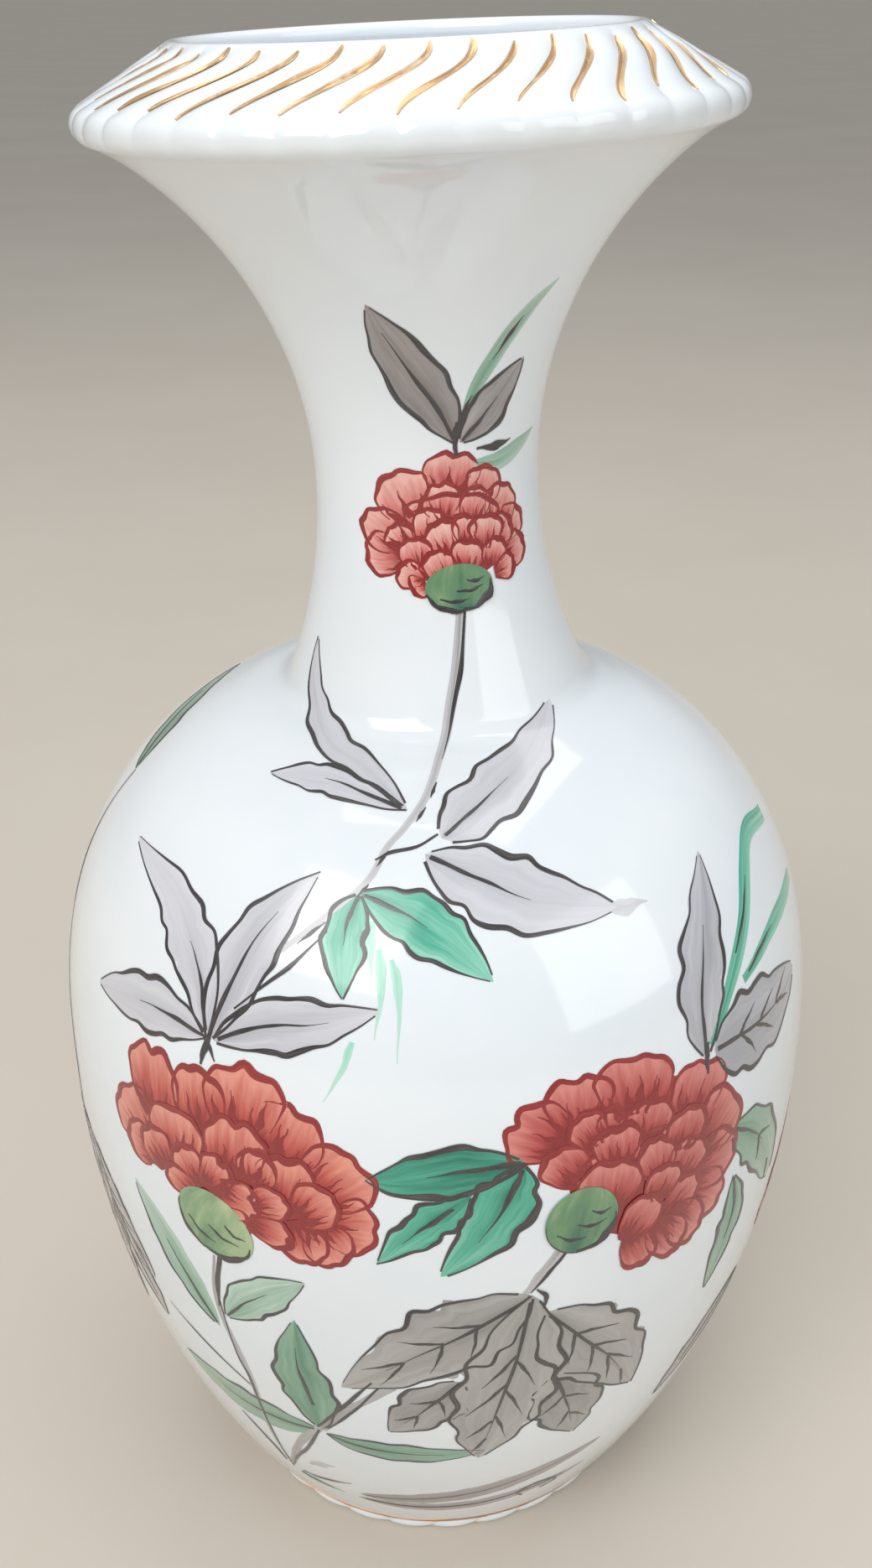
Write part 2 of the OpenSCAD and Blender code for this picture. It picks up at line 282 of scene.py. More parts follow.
class finish:
    def __init__(self, name):
        self.material = bpy.data.materials.new(name)
        self.material.use_nodes = True
        self.tree = self.material.node_tree
        self.tree.nodes.clear()
        self.shader = self.tree.nodes.new("ShaderNodeBsdfPrincipled")
        output = self.tree.nodes.new("ShaderNodeOutputMaterial")
        self.tree.links.new(self.shader.outputs[0], output.inputs[0])

    def feed(self, socket, value):
        if isinstance(value, wire):
            self.tree.links.new(value.socket, socket)
        else:
            socket.default_value = value

    def node(self, kind, settings, sockets, out=0):
        made = self.tree.nodes.new(kind)
        for name, value in settings.items():
            if name == "stops":
                while len(made.color_ramp.elements) < len(value):
                    made.color_ramp.elements.new(0.5)
                for stop, (place, colour) in zip(made.color_ramp.elements, value):
                    stop.position = place
                    stop.color = colour
            else:
                setattr(made, name, value)
        for name, value in sockets.items():
            self.feed(made.inputs[name], value)
        return wire(self, made.outputs[out])

    def maths(self, operation, a, b=0.0):
        return self.node("ShaderNodeMath", {"operation": operation}, {0: a, 1: b})

    def limited(self, value):
        return self.node("ShaderNodeClamp", {}, {0: value})

    def mixColour(self, share, a, b):
        return self.node("ShaderNodeMix", {"data_type": "RGBA"}, {0: share, 6: a, 7: b}, 2)

    def objectPlace(self):
        return self.node("ShaderNodeTexCoord", {}, {}, 3)

    def patchPlace(self):
        return self.node("ShaderNodeUVMap", {"uv_map": "UVMap"}, {})

    def tint(self):
        return self.node("ShaderNodeAttribute", {"attribute_name": "tint"}, {}, 2)

    def noise(self, place, scale, detail=3.0, rough=0.5):
        return self.node("ShaderNodeTexNoise", {},
                         {"Vector": place, "Scale": scale, "Detail": detail, "Roughness": rough})

    def bump(self, height, strength, distance):
        made = self.node("ShaderNodeBump", {},
                         {"Strength": strength, "Distance": distance, "Height": height})
        self.feed(self.shader.inputs["Normal"], made)

    def surface(self, sockets):
        for name, value in sockets.items():
            self.feed(self.shader.inputs[name], value)
        return self.material


def shade(red, green, blue):
    # A colour given as it looks, 0 to 255, turned to the linear values shaders take
    return tuple(((c / 255 + 0.055) / 1.055) ** 2.4 if c > 10 else c / 3294
                 for c in (red, green, blue)) + (1.0,)


# Glazed porcelain: bluish white, faintly uneven, with a soft waviness under the gloss
glazeLook = {"pale": shade(246, 250, 253), "cool": shade(231, 239, 245), "rough": 0.09,
             "biscuit": shade(226, 218, 204), "biscuitTop": 0.0007}


def glazeFinish(name, withBiscuit):
    made = finish(name)
    place = made.objectPlace()
    cloud = made.noise(place, 9.0, 4.0, 0.6)
    speck = made.noise(place, 900.0, 2.0)
    pool = made.noise(place, 38.0, 2.0)
    colour = made.mixColour(made.limited((cloud - 0.35) * 2.2), glazeLook["cool"], glazeLook["pale"])
    colour = made.mixColour(made.limited((speck - 0.72) * 6) * 0.25, colour, glazeLook["biscuit"])
    rough = glazeLook["rough"] + (cloud - 0.5) * 0.08 + made.limited((pool - 0.6) * 2) * 0.05
    if withBiscuit:
        height = made.node("ShaderNodeSeparateXYZ", {}, {0: place}, 2)
        bare = made.limited((glazeLook["biscuitTop"] - height + (pool - 0.5) * 0.0006) * 6000)
        colour = made.mixColour(bare, colour, glazeLook["biscuit"])
        rough = rough + bare * 0.6
    made.bump(pool * 0.7 + speck * 0.02, 0.12, 0.0006)
    return made.surface({"Base Color": colour, "Roughness": rough, "IOR": 1.52,
                         "Coat Weight": 0.35, "Coat Roughness": 0.04})


glaze = glazeFinish("bluishGlaze", False)
footGlaze = glazeFinish("footGlazeAndBiscuit", True)


def dressed(piece, material, slotName, nodes):
    piece.data.materials.clear()
    piece.data.materials.append(material)
    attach(piece, "root")
    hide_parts(*nodes)


# Belly: outside wall, a rounded cove into the neck, the inner wall and the floor
belly = {"turns": 192, "ringStep": 2.0, "shoulderStep": 1.5, "shoulderFrom": 200.0,
         "coveTop": 256.0, "seamStep": 0.5, "seamReach": 4, "baseRadius": 52.0, "baseHeight": 5.4,
         "baseMiddle": 30, "baseEdge": 1.5, "thinFrom": 240, "thinOver": 16, "floorRise": 9,
         "leastFall": 0.4, "coveOut": 3, "coveIn": 16, "floorMiddle": 24}


def wallRings(start, end, step):
    count = max(2, round((end - start) / step))
    return [wallAt(mixed(start, end, i / count)) for i in range(count + 1)]


def bellySection():
    foot = alongAt(form["footHeight"])
    change = alongAt(belly["shoulderFrom"])
    top = alongAt(belly["coveTop"])
    outer = wallRings(foot, change, belly["ringStep"])
    outer += wallRings(change, top - belly["seamReach"], belly["shoulderStep"])[1:]
    outer += wallRings(top - belly["seamReach"], top, belly["seamStep"])[1:]
    points = [(radius, belly["baseHeight"])
              for radius in (0, belly["baseMiddle"], belly["baseRadius"] - belly["baseEdge"])]
    points.append((belly["baseRadius"], form["footHeight"]))
    points += [(r, z) for r, z, outward, upward in outer]
    inner = []
    for r, z, outward, upward in reversed(outer):
        thick = mixed(form["bellyWall"], form["neckWall"],
                      smoothStep((z - belly["thinFrom"]) / belly["thinOver"]))
        point = (r - thick * outward, z - thick * upward)
        falling = not inner or point[1] < inner[-1][1] - belly["leastFall"]
        if falling and point[1] > form["floor"] + belly["floorRise"]:
            inner.append(point)
    low = inner[-1]
    cove = bend(low, (low[0] - belly["coveOut"], form["floor"]),
                (low[0] - belly["coveIn"], form["floor"]), 8)
    return points + inner + cove[1:] + [(belly["floorMiddle"], form["floor"]), (0, form["floor"])]


print("throwing the belly")
bellyPiece = spinSection("belly", bellySection(), belly["turns"], True)
leanPiece(bellyPiece)
smoothed(bellyPiece, mesh["bodyAngle"])
dressed(bellyPiece, glaze, "glazed_porcelain", ["body"])

# Neck: two arcs that meet at the waist, leaning a little
neck = {"turns": 192, "ringStep": 1.5, "top": 376.0, "endStep": 0.5, "endReach": 3}


def neckSection():
    low = alongAt(belly["coveTop"])
    top = alongAt(neck["top"])
    reach = neck["endReach"]
    outer = wallRings(low, low + reach, neck["endStep"])
    outer += wallRings(low + reach, top - reach, neck["ringStep"])[1:]
    outer += wallRings(top - reach, top, neck["endStep"])[1:]
    inner = [(r - form["neckWall"] * outward, z - form["neckWall"] * upward)
             for r, z, outward, upward in reversed(outer)]
    return [(r, z) for r, z, outward, upward in outer] + inner


print("throwing the neck")
neckPiece = spinSection("neck", neckSection(), neck["turns"], False)
leanPiece(neckPiece)
smoothed(neckPiece, mesh["bodyAngle"])
dressed(neckPiece, glaze, "glazed_porcelain", ["neck"])

# Mouth collar: a rounded edge, a slope of swirled gadroons and a rounded lip
collar = {"ribs": 40, "turnsPerRib": 12, "swirl": 15.5, "firstGroove": -3.5, "depth": 1.15,
          "fullness": 0.75, "edgeRadius": 73.5, "edgeHeight": 385.0, "edgeRound": 4.0,
          "lipRadius": 50.5, "lipRound": 2.1, "slopeRings": 26, "fadeIn": 0.2,
          "edgeWave": 0.35, "edgeShare": 0.55, "underTurn": -60, "lipTurn": 215,
          "throat": ((63.5, 386.5), (60.5, 380.5))}
edgeCentre = (collar["edgeRadius"] - collar["edgeRound"], collar["edgeHeight"])
lipCentre = (collar["lipRadius"], form["height"] - collar["lipRound"])
slopeRun = Vector((lipCentre[0] - edgeCentre[0], lipCentre[1] - edgeCentre[1]))
slopeTurn = (math.degrees(math.atan2(slopeRun.y, slopeRun.x)) - 90
             + math.degrees(math.asin((collar["edgeRound"] - collar["lipRound"]) / slopeRun.length)))


def slopeWeight(share):
    # The grooves fade in below the lip and ease off towards the edge
    return smoothStep(share / collar["fadeIn"]) * mixed(1, collar["edgeShare"], smoothStep(share) ** 3)


def collarSection():
    # Each point: radius, height, how deep the grooves are, share of the way down the slope
    seam = wallAt(alongAt(neck["top"]))
    under = collar["underTurn"]
    start = arcPoints(edgeCentre, collar["edgeRound"], under, under, 1)[0]
    tangent = Vector((-seam[3], seam[2]))
    reach = (start[0] - seam[0]) * 0.5
    corner = (seam[0] + reach, seam[1] + reach * tangent.y / tangent.x)
    made = [(r, z, 0.0, 1.0) for r, z in bend(seam[:2], corner, start, 8)[:-1]]
    for i, (r, z) in enumerate(arcPoints(edgeCentre, collar["edgeRound"], under, slopeTurn, 12)):
        made.append((r, z, collar["edgeShare"] * smoothStep(i / 9), 1.0))
    low = made[-1]
    top = arcPoints(lipCentre, collar["lipRound"], slopeTurn, slopeTurn, 1)[0]
    for i in range(1, collar["slopeRings"] + 1):
        share = 1 - i / collar["slopeRings"]
        made.append((mixed(top[0], low[0], share), mixed(top[1], low[1], share),
                     slopeWeight(share), share))
    for r, z in arcPoints(lipCentre, collar["lipRound"], slopeTurn, collar["lipTurn"], 9)[1:]:
        made.append((r, z, 0.0, 0.0))
    last = made[-1]
    thick = form["neckWall"]
    seamInner = (seam[0] - thick * seam[2], seam[1] - thick * seam[3])
    for r, z in bend(last[:2], *collar["throat"], 14)[1:] + [seamInner]:
        made.append((r, z, 0.0, 0.0))
    return made


def swirlAt(share):
    return -collar["swirl"] * (1 - math.cos(math.pi * share)) / 2


def grooveDepth(azimuth, share, weight):
    pitch = 360 / collar["ribs"]
    phase = ((azimuth - swirlAt(share) - collar["firstGroove"]) / pitch) % 1
    return collar["depth"] * weight * (1 - math.sin(math.pi * phase) ** collar["fullness"])


def collarSlope(azimuth, share, lift):
    # A point on the gadrooned slope
    low = arcPoints(edgeCentre, collar["edgeRound"], slopeTurn, slopeTurn, 1)[0]
    top = arcPoints(lipCentre, collar["lipRound"], slopeTurn, slopeTurn, 1)[0]
    sink = lift - grooveDepth(azimuth, share, slopeWeight(share))
    normal = (math.cos(math.radians(slopeTurn)), math.sin(math.radians(slopeTurn)))
    radius = mixed(top[0], low[0], share) + sink * normal[0]
    height = mixed(top[1], low[1], share) + sink * normal[1]
    return leaned(turned(radius, azimuth, height)) * mm


print("pressing the gadrooned mouth")
collarPoints = collarSection()
collarPiece = spinSection("mouthCollar", [p[:2] for p in collarPoints],
                          collar["ribs"] * collar["turnsPerRib"], False)


def gadroon(radius, azimuth, height):
    k = nearest(collarPoints, radius, height)
    r, z, weight, share = collarPoints[k]
    before = collarPoints[k - 1]
    after = collarPoints[(k + 1) % len(collarPoints)]
    run = Vector((after[0] - before[0], after[1] - before[1])).normalized()
    azimuth += collar["firstGroove"] + swirlAt(share)
    sink = grooveDepth(azimuth, share, weight)
    wander = collar["edgeWave"] * math.sin(math.radians(3 * azimuth + 40)) * weight * share
    return leaned(turned(r - sink * run.y, azimuth, z + sink * run.x + wander * 0.5))


placeVertices(collarPiece, gadroon)
smoothed(collarPiece, mesh["ribAngle"])
dressed(collarPiece, glaze, "glazed_porcelain", ["mouth_collar"])

# Foot ring: a bead of slanting lobes round a hollow base
foot = {"lobes": 30, "turnsPerLobe": 16, "slant": 5.0, "depth": 0.9, "innerRadius": 52.0,
        "beadRadius": 59.9, "beadRound": 3.1, "fullness": 0.7, "beadLow": -78, "beadHigh": 66,
        "beadRings": 14, "inset": 1.2, "shelf": 0.4}


def footSection():
    # Each point: radius, height, how deep the lobes are cut
    half = form["footHeight"] / 2
    rings = foot["beadRings"]
    bead = arcPoints((foot["beadRadius"], half), foot["beadRound"],
                     foot["beadLow"], foot["beadHigh"], rings)
    made = [(foot["innerRadius"], 0.6, 0.0), (foot["innerRadius"] + 0.8, 0.0, 0.0),
            (form["footRadius"] - foot["inset"], 0.0, 0.0)]
    made += [(r, z, smoothStep(min(i / 3, (rings - i) / 2))) for i, (r, z) in enumerate(bead)]
    return made + [(form["footRadius"] + foot["shelf"], form["footHeight"], 0.0),
                   (foot["innerRadius"], form["footHeight"], 0.0), (foot["innerRadius"], half, 0.0)]


footPoints = footSection()


def lobe(radius, azimuth, height):
    r, z, weight = footPoints[nearest(footPoints, radius, height)]
    phase = math.pi * foot["lobes"] * azimuth / 360
    sink = foot["depth"] * weight * (1 - abs(math.sin(phase)) ** foot["fullness"])
    slant = foot["slant"] * (z / form["footHeight"] - 0.5) * weight / form["footRadius"]
    return turned(r - sink, azimuth + math.degrees(slant), z)


print("turning the foot")
footPiece = spinSection("footRing", [p[:2] for p in footPoints],
                        foot["lobes"] * foot["turnsPerLobe"], False)
placeVertices(footPiece, lobe)
smoothed(footPiece, mesh["ribAngle"])
dressed(footPiece, footGlaze, "glazed_porcelain", ["foot_ring"])


# Painted layers: each brush mark is a grid laid on the glaze, then given a thickness
layers = {}
blanks = {}


def blankGrid(across, length):
    # One grid of each fineness is made, and every brush mark is a copy with its own mesh
    if (across, length) not in blanks:
        deselectAll()
        bpy.ops.mesh.primitive_grid_add(x_subdivisions=across, y_subdivisions=length, size=1)
        blanks[across, length] = bpy.context.object
    patch = blanks[across, length].copy()
    patch.data = patch.data.copy()
    bpy.context.scene.collection.objects.link(patch)
    return patch


def layPatch(group, across, length, place, tint):
    patch = blankGrid(across, length)
    vertices = patch.data.vertices
    for vertex in vertices:
        vertex.co = place(vertex.co.x + 0.5, vertex.co.y + 0.5)
    marks = patch.data.attributes.new("tint", "FLOAT", "POINT")
    marks.data.foreach_set("value", [tint] * len(vertices))
    layers.setdefault(group, []).append(patch)


def gather(group, name, material, slotName, nodes, thick):
    # Joins a group's brush marks into one piece and gives them their thickness
    onlySelect(layers[group])
    bpy.ops.object.join()
    piece = bpy.context.object
    piece.name = name
    piece.data.name = name
    bpy.ops.object.mode_set(mode="EDIT")
    bpy.ops.mesh.select_all(action="SELECT")
    bpy.ops.mesh.remove_doubles(threshold=mesh["markWeld"])
    bpy.ops.object.mode_set(mode="OBJECT")
    solid = piece.modifiers.new("thickness", "SOLIDIFY")
    solid.thickness = thick * mm
    solid.offset = -1
    solid.use_even_offset = False
    bpy.ops.object.modifier_apply(modifier="thickness")
    smoothed(piece, mesh["markAngle"])
    dressed(piece, material, slotName, nodes)
    return piece


def smoothLine(points, count):
    # A soft line through the points, as (u, v, sideways u, sideways v)
    ends = [tuple(2 * points[0][k] - points[1][k] for k in range(2))]
    ends += list(points)
    ends.append(tuple(2 * points[-1][k] - points[-2][k] for k in range(2)))
    spans = len(points) - 1
    made = []
    for i in range(count + 1):
        along = min(spans * i / count, spans - 1e-6)
        k = int(along)
        t = along - k
        a, b, c, d = ends[k:k + 4]
        made.append(tuple(
            0.5 * (2 * b[j] + (c[j] - a[j]) * t + (2 * a[j] - 5 * b[j] + 4 * c[j] - d[j]) * t * t
                   + (3 * b[j] - a[j] - 3 * c[j] + d[j]) * t ** 3) for j in range(2)))
    line = []
    for i, point in enumerate(made):
        before = made[max(0, i - 1)]
        after = made[min(count, i + 1)]
        run = Vector((after[0] - before[0], after[1] - before[1]))
        run = run.normalized() if run.length > 1e-9 else Vector((0, 1))
        line.append((point[0], point[1], run.y, -run.x))
    return line


def onLine(line, share):
    place = min(max(share, 0), 1) * (len(line) - 1)
    k = min(int(place), len(line) - 2)
    return tuple(mixed(line[k][j], line[k + 1][j], place - k) for j in range(4))


class spray:
    # A place on the wall that marks are measured from: u runs round it, v up it
    def __init__(self, azimuth, height):
        self.azimuth = azimuth
        self.along = alongAt(height)

    def at(self, azimuth, height):
        along = alongAt(height)
        return (math.radians(azimuth - self.azimuth) * wallAt(along)[0], along - self.along)

    def line(self, *places):
        return [self.at(*place) for place in places]

    def point(self, u, v, lift):
        along = self.along + v
        return onWall(self.azimuth + math.degrees(u / wallAt(along)[0]), along, lift)


hand = random.Random(11)


strokeLook = {"step": 0.9, "fewest": 4, "most": 60, "taper": 1.3, "thinnest": 0.05,
              "press": 9, "finePress": 23, "finePressShare": 0.6, "drift": 13,
              "dome": 0.06, "domeMost": 0.03}


def stroke(base, group, points, width, lift, tint=0.5, start=0.35, end=0.05, wobble=0.12, swell=0.5):
    # One brush line that swells and tapers
    look = strokeLook
    count = max(look["fewest"], min(look["most"], round(lengthAlong(points)[-1] / look["step"])))
    line = smoothLine(points, count)
    phases = [hand.uniform(0, 6.3) for i in range(3)]

    def place(a, b):
        u, v, sideU, sideV = onLine(line, b)
        press = (mixed(start, 1, smoothStep(b / swell)) if b < swell
                 else mixed(1, end, smoothStep((b - swell) / (1 - swell)) ** look["taper"]))
        press *= 1 + wobble * (math.sin(look["press"] * b + phases[0])
                               + look["finePressShare"] * math.sin(look["finePress"] * b + phases[1]))
        half = max(look["thinnest"], width * press) / 2
        drift = wobble * width * 0.5 * math.sin(look["drift"] * b + phases[2])
        shift = (2 * a - 1) * half + drift
        dome = min(look["domeMost"], half * look["dome"]) * (1 - (2 * a - 1) ** 2)
        return base.point(u + shift * sideU, v + shift * sideV, lift + dome)

    layPatch(group, 2, count, place, tint)


leafLook = {"wash": 0.06, "ink": 0.16, "inkWidth": 1.15, "stagger": 0.014, "staggers": 5, "count": 0,
            "lineSteps": 30, "waveLength": 11, "fineWave": 1.9, "fineWaveShare": 0.6, "thinnest": 0.06,
            "patchStep": 1.6, "patchFewest": 10, "patchMost": 40, "edgeSteps": 12, "ribSteps": 5,
            "ribInk": 0.9, "veinInk": 0.8, "veinAhead": 0.17, "veinLast": 0.94, "veinBend": 0.6}


def leaf(base, group, ink, points, width, tint=0.5, lift=0.0, wave=0.07, fullness=0.85, swell=0.9,
         inkWidth=1.0, midrib=0.7, veins=0, sides=(1, 1), ribStart=0.03, across=6):
    # A wash with wavy edges, dark brush lines along its sides and down its middle
    look = leafLook
    line = smoothLine(points, look["lineSteps"])
    reach = lengthAlong(points)[-1]
    phases = [hand.uniform(0, 6.3) for i in range(6)]
    inkWidth *= look["inkWidth"]
    beats = max(2.0, reach / look["waveLength"])
    look["count"] += 1
    washLift = look["wash"] + lift + look["stagger"] * (look["count"] % look["staggers"])

    def half(share, side):
        body = max(0.0, math.sin(math.pi * min(1, share) ** swell)) ** fullness
        k = 0 if side < 0 else 3
        ripple = wave * (math.sin(2 * math.pi * beats * share + phases[k])
                         + look["fineWaveShare"]
                         * math.sin(2 * math.pi * beats * look["fineWave"] * share + phases[k + 1]))
        fade = min(1, 4 * share, 4 * (1 - share))
        return max(look["thinnest"], width / 2 * body * (1 + ripple * fade))

    def place(a, b):
        u, v, sideU, sideV = onLine(line, b)
        side = 2 * a - 1
        shift = side * half(b, side)
        return base.point(u + shift * sideU, v + shift * sideV, washLift)

    length = max(look["patchFewest"], min(look["patchMost"], round(reach / look["patchStep"])))
    layPatch(group, across, length, place, tint)
    for side, drawn in zip((-1, 1), sides):
        if not drawn:
            continue
        first = hand.uniform(0.0, 0.04)
        last = hand.uniform(0.97, 1.0)
        loose = hand.uniform(-0.25, 0.3)
        edge = []
        for i in range(look["edgeSteps"] + 1):
            share = mixed(first, last, i / look["edgeSteps"])
            u, v, sideU, sideV = onLine(line, share)
            out = side * (half(share, side) + loose * math.sin(math.pi * share))
            edge.append((u + out * sideU, v + out * sideV))
        stroke(base, ink, edge, inkWidth * hand.uniform(0.85, 1.15), look["ink"] + lift,
               hand.uniform(0.3, 0.8), 0.55, 0.3, 0.22, 0.45)
    if midrib > 0:
        rib = [onLine(line, mixed(ribStart, midrib, i / look["ribSteps"]))[:2]
               for i in range(look["ribSteps"] + 1)]
        stroke(base, ink, rib, inkWidth * look["ribInk"], look["ink"] + lift - 0.01,
               hand.uniform(0.3, 0.7), 0.9, 0.1, 0.15, 0.25)
    for i in range(veins):
        share = mixed(0.2, 0.8, (i // 2 + 0.5) / max(1, veins / 2))
        side = -1 if i % 2 else 1
        u, v, sideU, sideV = onLine(line, share + hand.uniform(-0.03, 0.03))
        ahead = onLine(line, min(look["veinLast"], share + look["veinAhead"]))
        out = side * half(min(0.9, share + 0.15), side) * hand.uniform(0.55, 0.72)
        tip = (ahead[0] + out * sideU, ahead[1] + out * sideV)
        bow = look["veinBend"] * side
        middle = (mixed(u, tip[0], 0.5) - bow * sideV, mixed(v, tip[1], 0.5) + bow * sideU)
        stroke(base, ink, [(mixed(u, tip[0], 0.04), mixed(v, tip[1], 0.04)), middle, tip],
               inkWidth * look["veinInk"], look["ink"] + lift - 0.01,
               hand.uniform(0.3, 0.7), 0.8, 0.1, 0.15, 0.3)


petalLook = {"firstLift": 0.07, "rowLift": 0.055, "alternate": 0.018, "line": 0.03, "patchStep": 1.3,
             "patchFewest": 6, "patchMost": 14, "rootShare": 0.42, "fullFrom": 1.25, "crown": 0.34,
             "crownPower": 2.6, "lobeDepth": 0.09, "ripple": 0.03, "sway": 0.04}


def petalSteps(reach):
    look = petalLook
    return max(look["patchFewest"], min(look["patchMost"], round(reach / look["patchStep"])))


def petal(base, group, lineGroup, root, tip, width, lobes, lift, tint, lineWidth, streaks):
    # A fan of wash from root to tip with a scalloped end, outlined and streaked in darker red
    run = Vector((tip[0] - root[0], tip[1] - root[1]))
    reach = run.length
    run.normalize()
    side = Vector((run.y, -run.x))
    beats = [hand.uniform(0, 6.3) for i in range(2)]
    bow = hand.uniform(-0.08, 0.08) * reach
    look = petalLook

    def flat(a, b):
        x = 2 * a - 1
        opened = math.sin(math.pi / 2 * min(1, b * look["fullFrom"]))
        spread = width / 2 * mixed(look["rootShare"], 1, opened)
        crown = 1 - look["crown"] * abs(x) ** look["crownPower"]
        if lobes > 1 and 0.2 < a < 0.8:
            crown -= look["lobeDepth"] * (1 - abs(math.sin(math.pi * lobes * a)) ** 0.8)
        crown += look["ripple"] * math.sin(9 * x + beats[0])
        along = reach * b * crown
        off = x * spread * (1 + look["sway"] * math.sin(7 * b + beats[1])) + bow * b * b
        return (root[0] + run.x * along + side.x * off, root[1] + run.y * along + side.y * off)

    def place(a, b):
        u, v = flat(a, b)
        return base.point(u, v, lift)

    layPatch(group, petalSteps(width), petalSteps(reach), place, tint)
    rim = [flat(0.015, b) for b in (0.25, 0.5, 0.75, 0.92)]
    rim += [flat(a, 0.985) for a in (0.06, 0.15, 0.26, 0.38, 0.5, 0.62, 0.74, 0.85, 0.94)]
    rim += [flat(0.985, b) for b in (0.92, 0.75, 0.5, 0.3)]
    stroke(base, lineGroup, rim, lineWidth * hand.uniform(0.8, 1.15), lift + look["line"],
           hand.uniform(0.25, 0.75), 0.3, 0.2, 0.2, 0.5)
    for i in range(streaks):
        a = (i + 0.5) / streaks + hand.uniform(-0.1, 0.1)
        high = hand.uniform(0.42, 0.72)
        stroke(base, lineGroup, [flat(mixed(0.5, a, 0.8), 0.02), flat(a, high * 0.5), flat(a, high)],
               width * hand.uniform(0.09, 0.15), lift + look["line"] * 0.6,
               hand.uniform(0.0, 0.4), 1.0, 0.1, 0.2, 0.15)


def bloom(base, group, petals, tint, spread, lineWidth, streaks):
    for i, (root, tip, width, lobes, row) in enumerate(petals):
        lift = (petalLook["firstLift"] + petalLook["rowLift"] * row
                + petalLook["alternate"] * (i % 3))
        petal(base, group, group + "Lines", root, tip, width, lobes, lift,
              tint + hand.uniform(-spread, spread), lineWidth, streaks)


def disc(base, group, ink, centre, halfU, halfV, turn, lift, tint, leftInk=1.0):
    # A rounded calyx with dark strokes
    swing = math.radians(turn)

    def spot(x, y):
        u = x * halfU
        v = y * halfV
        return (centre[0] + u * math.cos(swing) - v * math.sin(swing),
                centre[1] + u * math.sin(swing) + v * math.cos(swing))

    def place(a, b):
        x = 2 * a - 1
        y = 2 * b - 1
        grow = math.sqrt(max(0.0, 1 - y * y / 2)), math.sqrt(max(0.0, 1 - x * x / 2))
        u, v = spot(x * grow[0], y * grow[1])
        return base.point(u, v, lift)

    layPatch(group, 12, 10, place, tint)
    leftEdge = [spot(x, y) for x, y in arcPoints((0, 0), 0.98, 190, 275, 8)]
    rightEdge = [spot(x, y) for x, y in arcPoints((0, 0), 0.95, 275, 372, 9)]
    stroke(base, ink, leftEdge, 1.1 * leftInk, lift + 0.05, 0.4, 0.3, 0.5, 0.2)
    stroke(base, ink, rightEdge, 1.9, lift + 0.06, 0.3, 0.4, 0.2, 0.2)
    for start, end in (((-0.6, -0.42), (0.25, -0.5)), ((-0.1, -0.12), (0.7, 0.02)),
                       ((0.2, 0.3), (0.75, 0.35))):
        middle = spot(mixed(start[0], end[0], 0.5), mixed(start[1], end[1], 0.5) - 0.12)
        stroke(base, ink, [spot(*start), middle, spot(*end)], 0.9, lift + 0.055, 0.4, 0.4, 0.1, 0.2)


# Gold in the grooves of the mouth
rimGold = {"width": 2.3, "narrow": 0.5, "lift": 0.07, "from": 0.05, "to": 0.95, "uneven": 0.045}


def goldStrip(k):
    pitch = 360 / collar["ribs"]
    first = rimGold["from"] + hand.uniform(-0.03, 0.06)
    last = rimGold["to"] + hand.uniform(-0.12, 0.04)
    broad = rimGold["width"] * hand.uniform(0.72, 1.12)
    phases = [hand.uniform(0, 6.3) for i in range(2)]

    def place(a, b):
        share = mixed(first, last, b)
        azimuth = collar["firstGroove"] + k * pitch + swirlAt(share)
        half = mixed(rimGold["narrow"], broad, math.sin(math.pi * min(1, b * 1.02)) ** 0.6) / 2
        half *= 1 + rimGold["uneven"] * 3 * math.sin(11 * b + phases[0])
        drift = 0.25 * math.sin(7 * b + phases[1])
        radius = mixed(collar["lipRadius"], collar["edgeRadius"], share)
        return collarSlope(azimuth + math.degrees(((2 * a - 1) * half + drift) / radius), share,
                           rimGold["lift"])

    layPatch("rimGold", 6, 24, place, hand.random())


print("gilding the mouth and the foot")
for k in range(collar["ribs"]):
    goldStrip(k)

# Gold round the foot: an uneven line with short slanting touches under it
footGold = {"lift": 0.06, "low": 6.6, "height": 2.4, "touches": 30, "touchWidth": 2.3,
            "touchLow": 0.9, "touchHigh": 1.6, "bead": 1.05, "beadSwell": 0.45}


def footLine(a, b):
    azimuth = 360 * b
    uneven = (math.sin(math.radians(7 * azimuth)) + math.sin(math.radians(17 * azimuth + 50))) / 2
    smear = max(0, math.cos(math.radians(azimuth + 42))) ** 10
    tall = footGold["height"] * (1 + 0.28 * uneven + 0.35 * smear)
    low = footGold["low"] + 0.35 * math.sin(math.radians(5 * azimuth)) - 0.3 * smear
    return onWall(azimuth, alongAt(low + (1 - a) * tall), footGold["lift"])


layPatch("footGold", 3, 360, footLine, 0.5)
for k in range(footGold["touches"]):
    turn = k * 360 / footGold["touches"]
    lean = hand.uniform(2.0, 3.4)
    fat = footGold["touchWidth"] * hand.uniform(0.6, 1.4)

    def touch(a, b, turn=turn, lean=lean, fat=fat):
        height = form["footHeight"] + mixed(-footGold["touchLow"], footGold["touchHigh"], b)
        half = fat * (0.3 + 0.7 * math.sin(math.pi * b)) / 2
        azimuth = turn + math.degrees(((b - 0.5) * -lean * 1.6 + (2 * a - 1) * half) / form["footRadius"])
        if height > form["footHeight"] + 0.05:
            return onWall(azimuth, alongAt(height), footGold["lift"] + 0.05)
        drop = (form["footHeight"] - height) / footGold["touchLow"]
        radius = form["footRadius"] + footGold["bead"] + footGold["beadSwell"] * drop
        return turned(radius, azimuth, height) * mm

    layPatch("footGold", 2, 8, touch, hand.random())

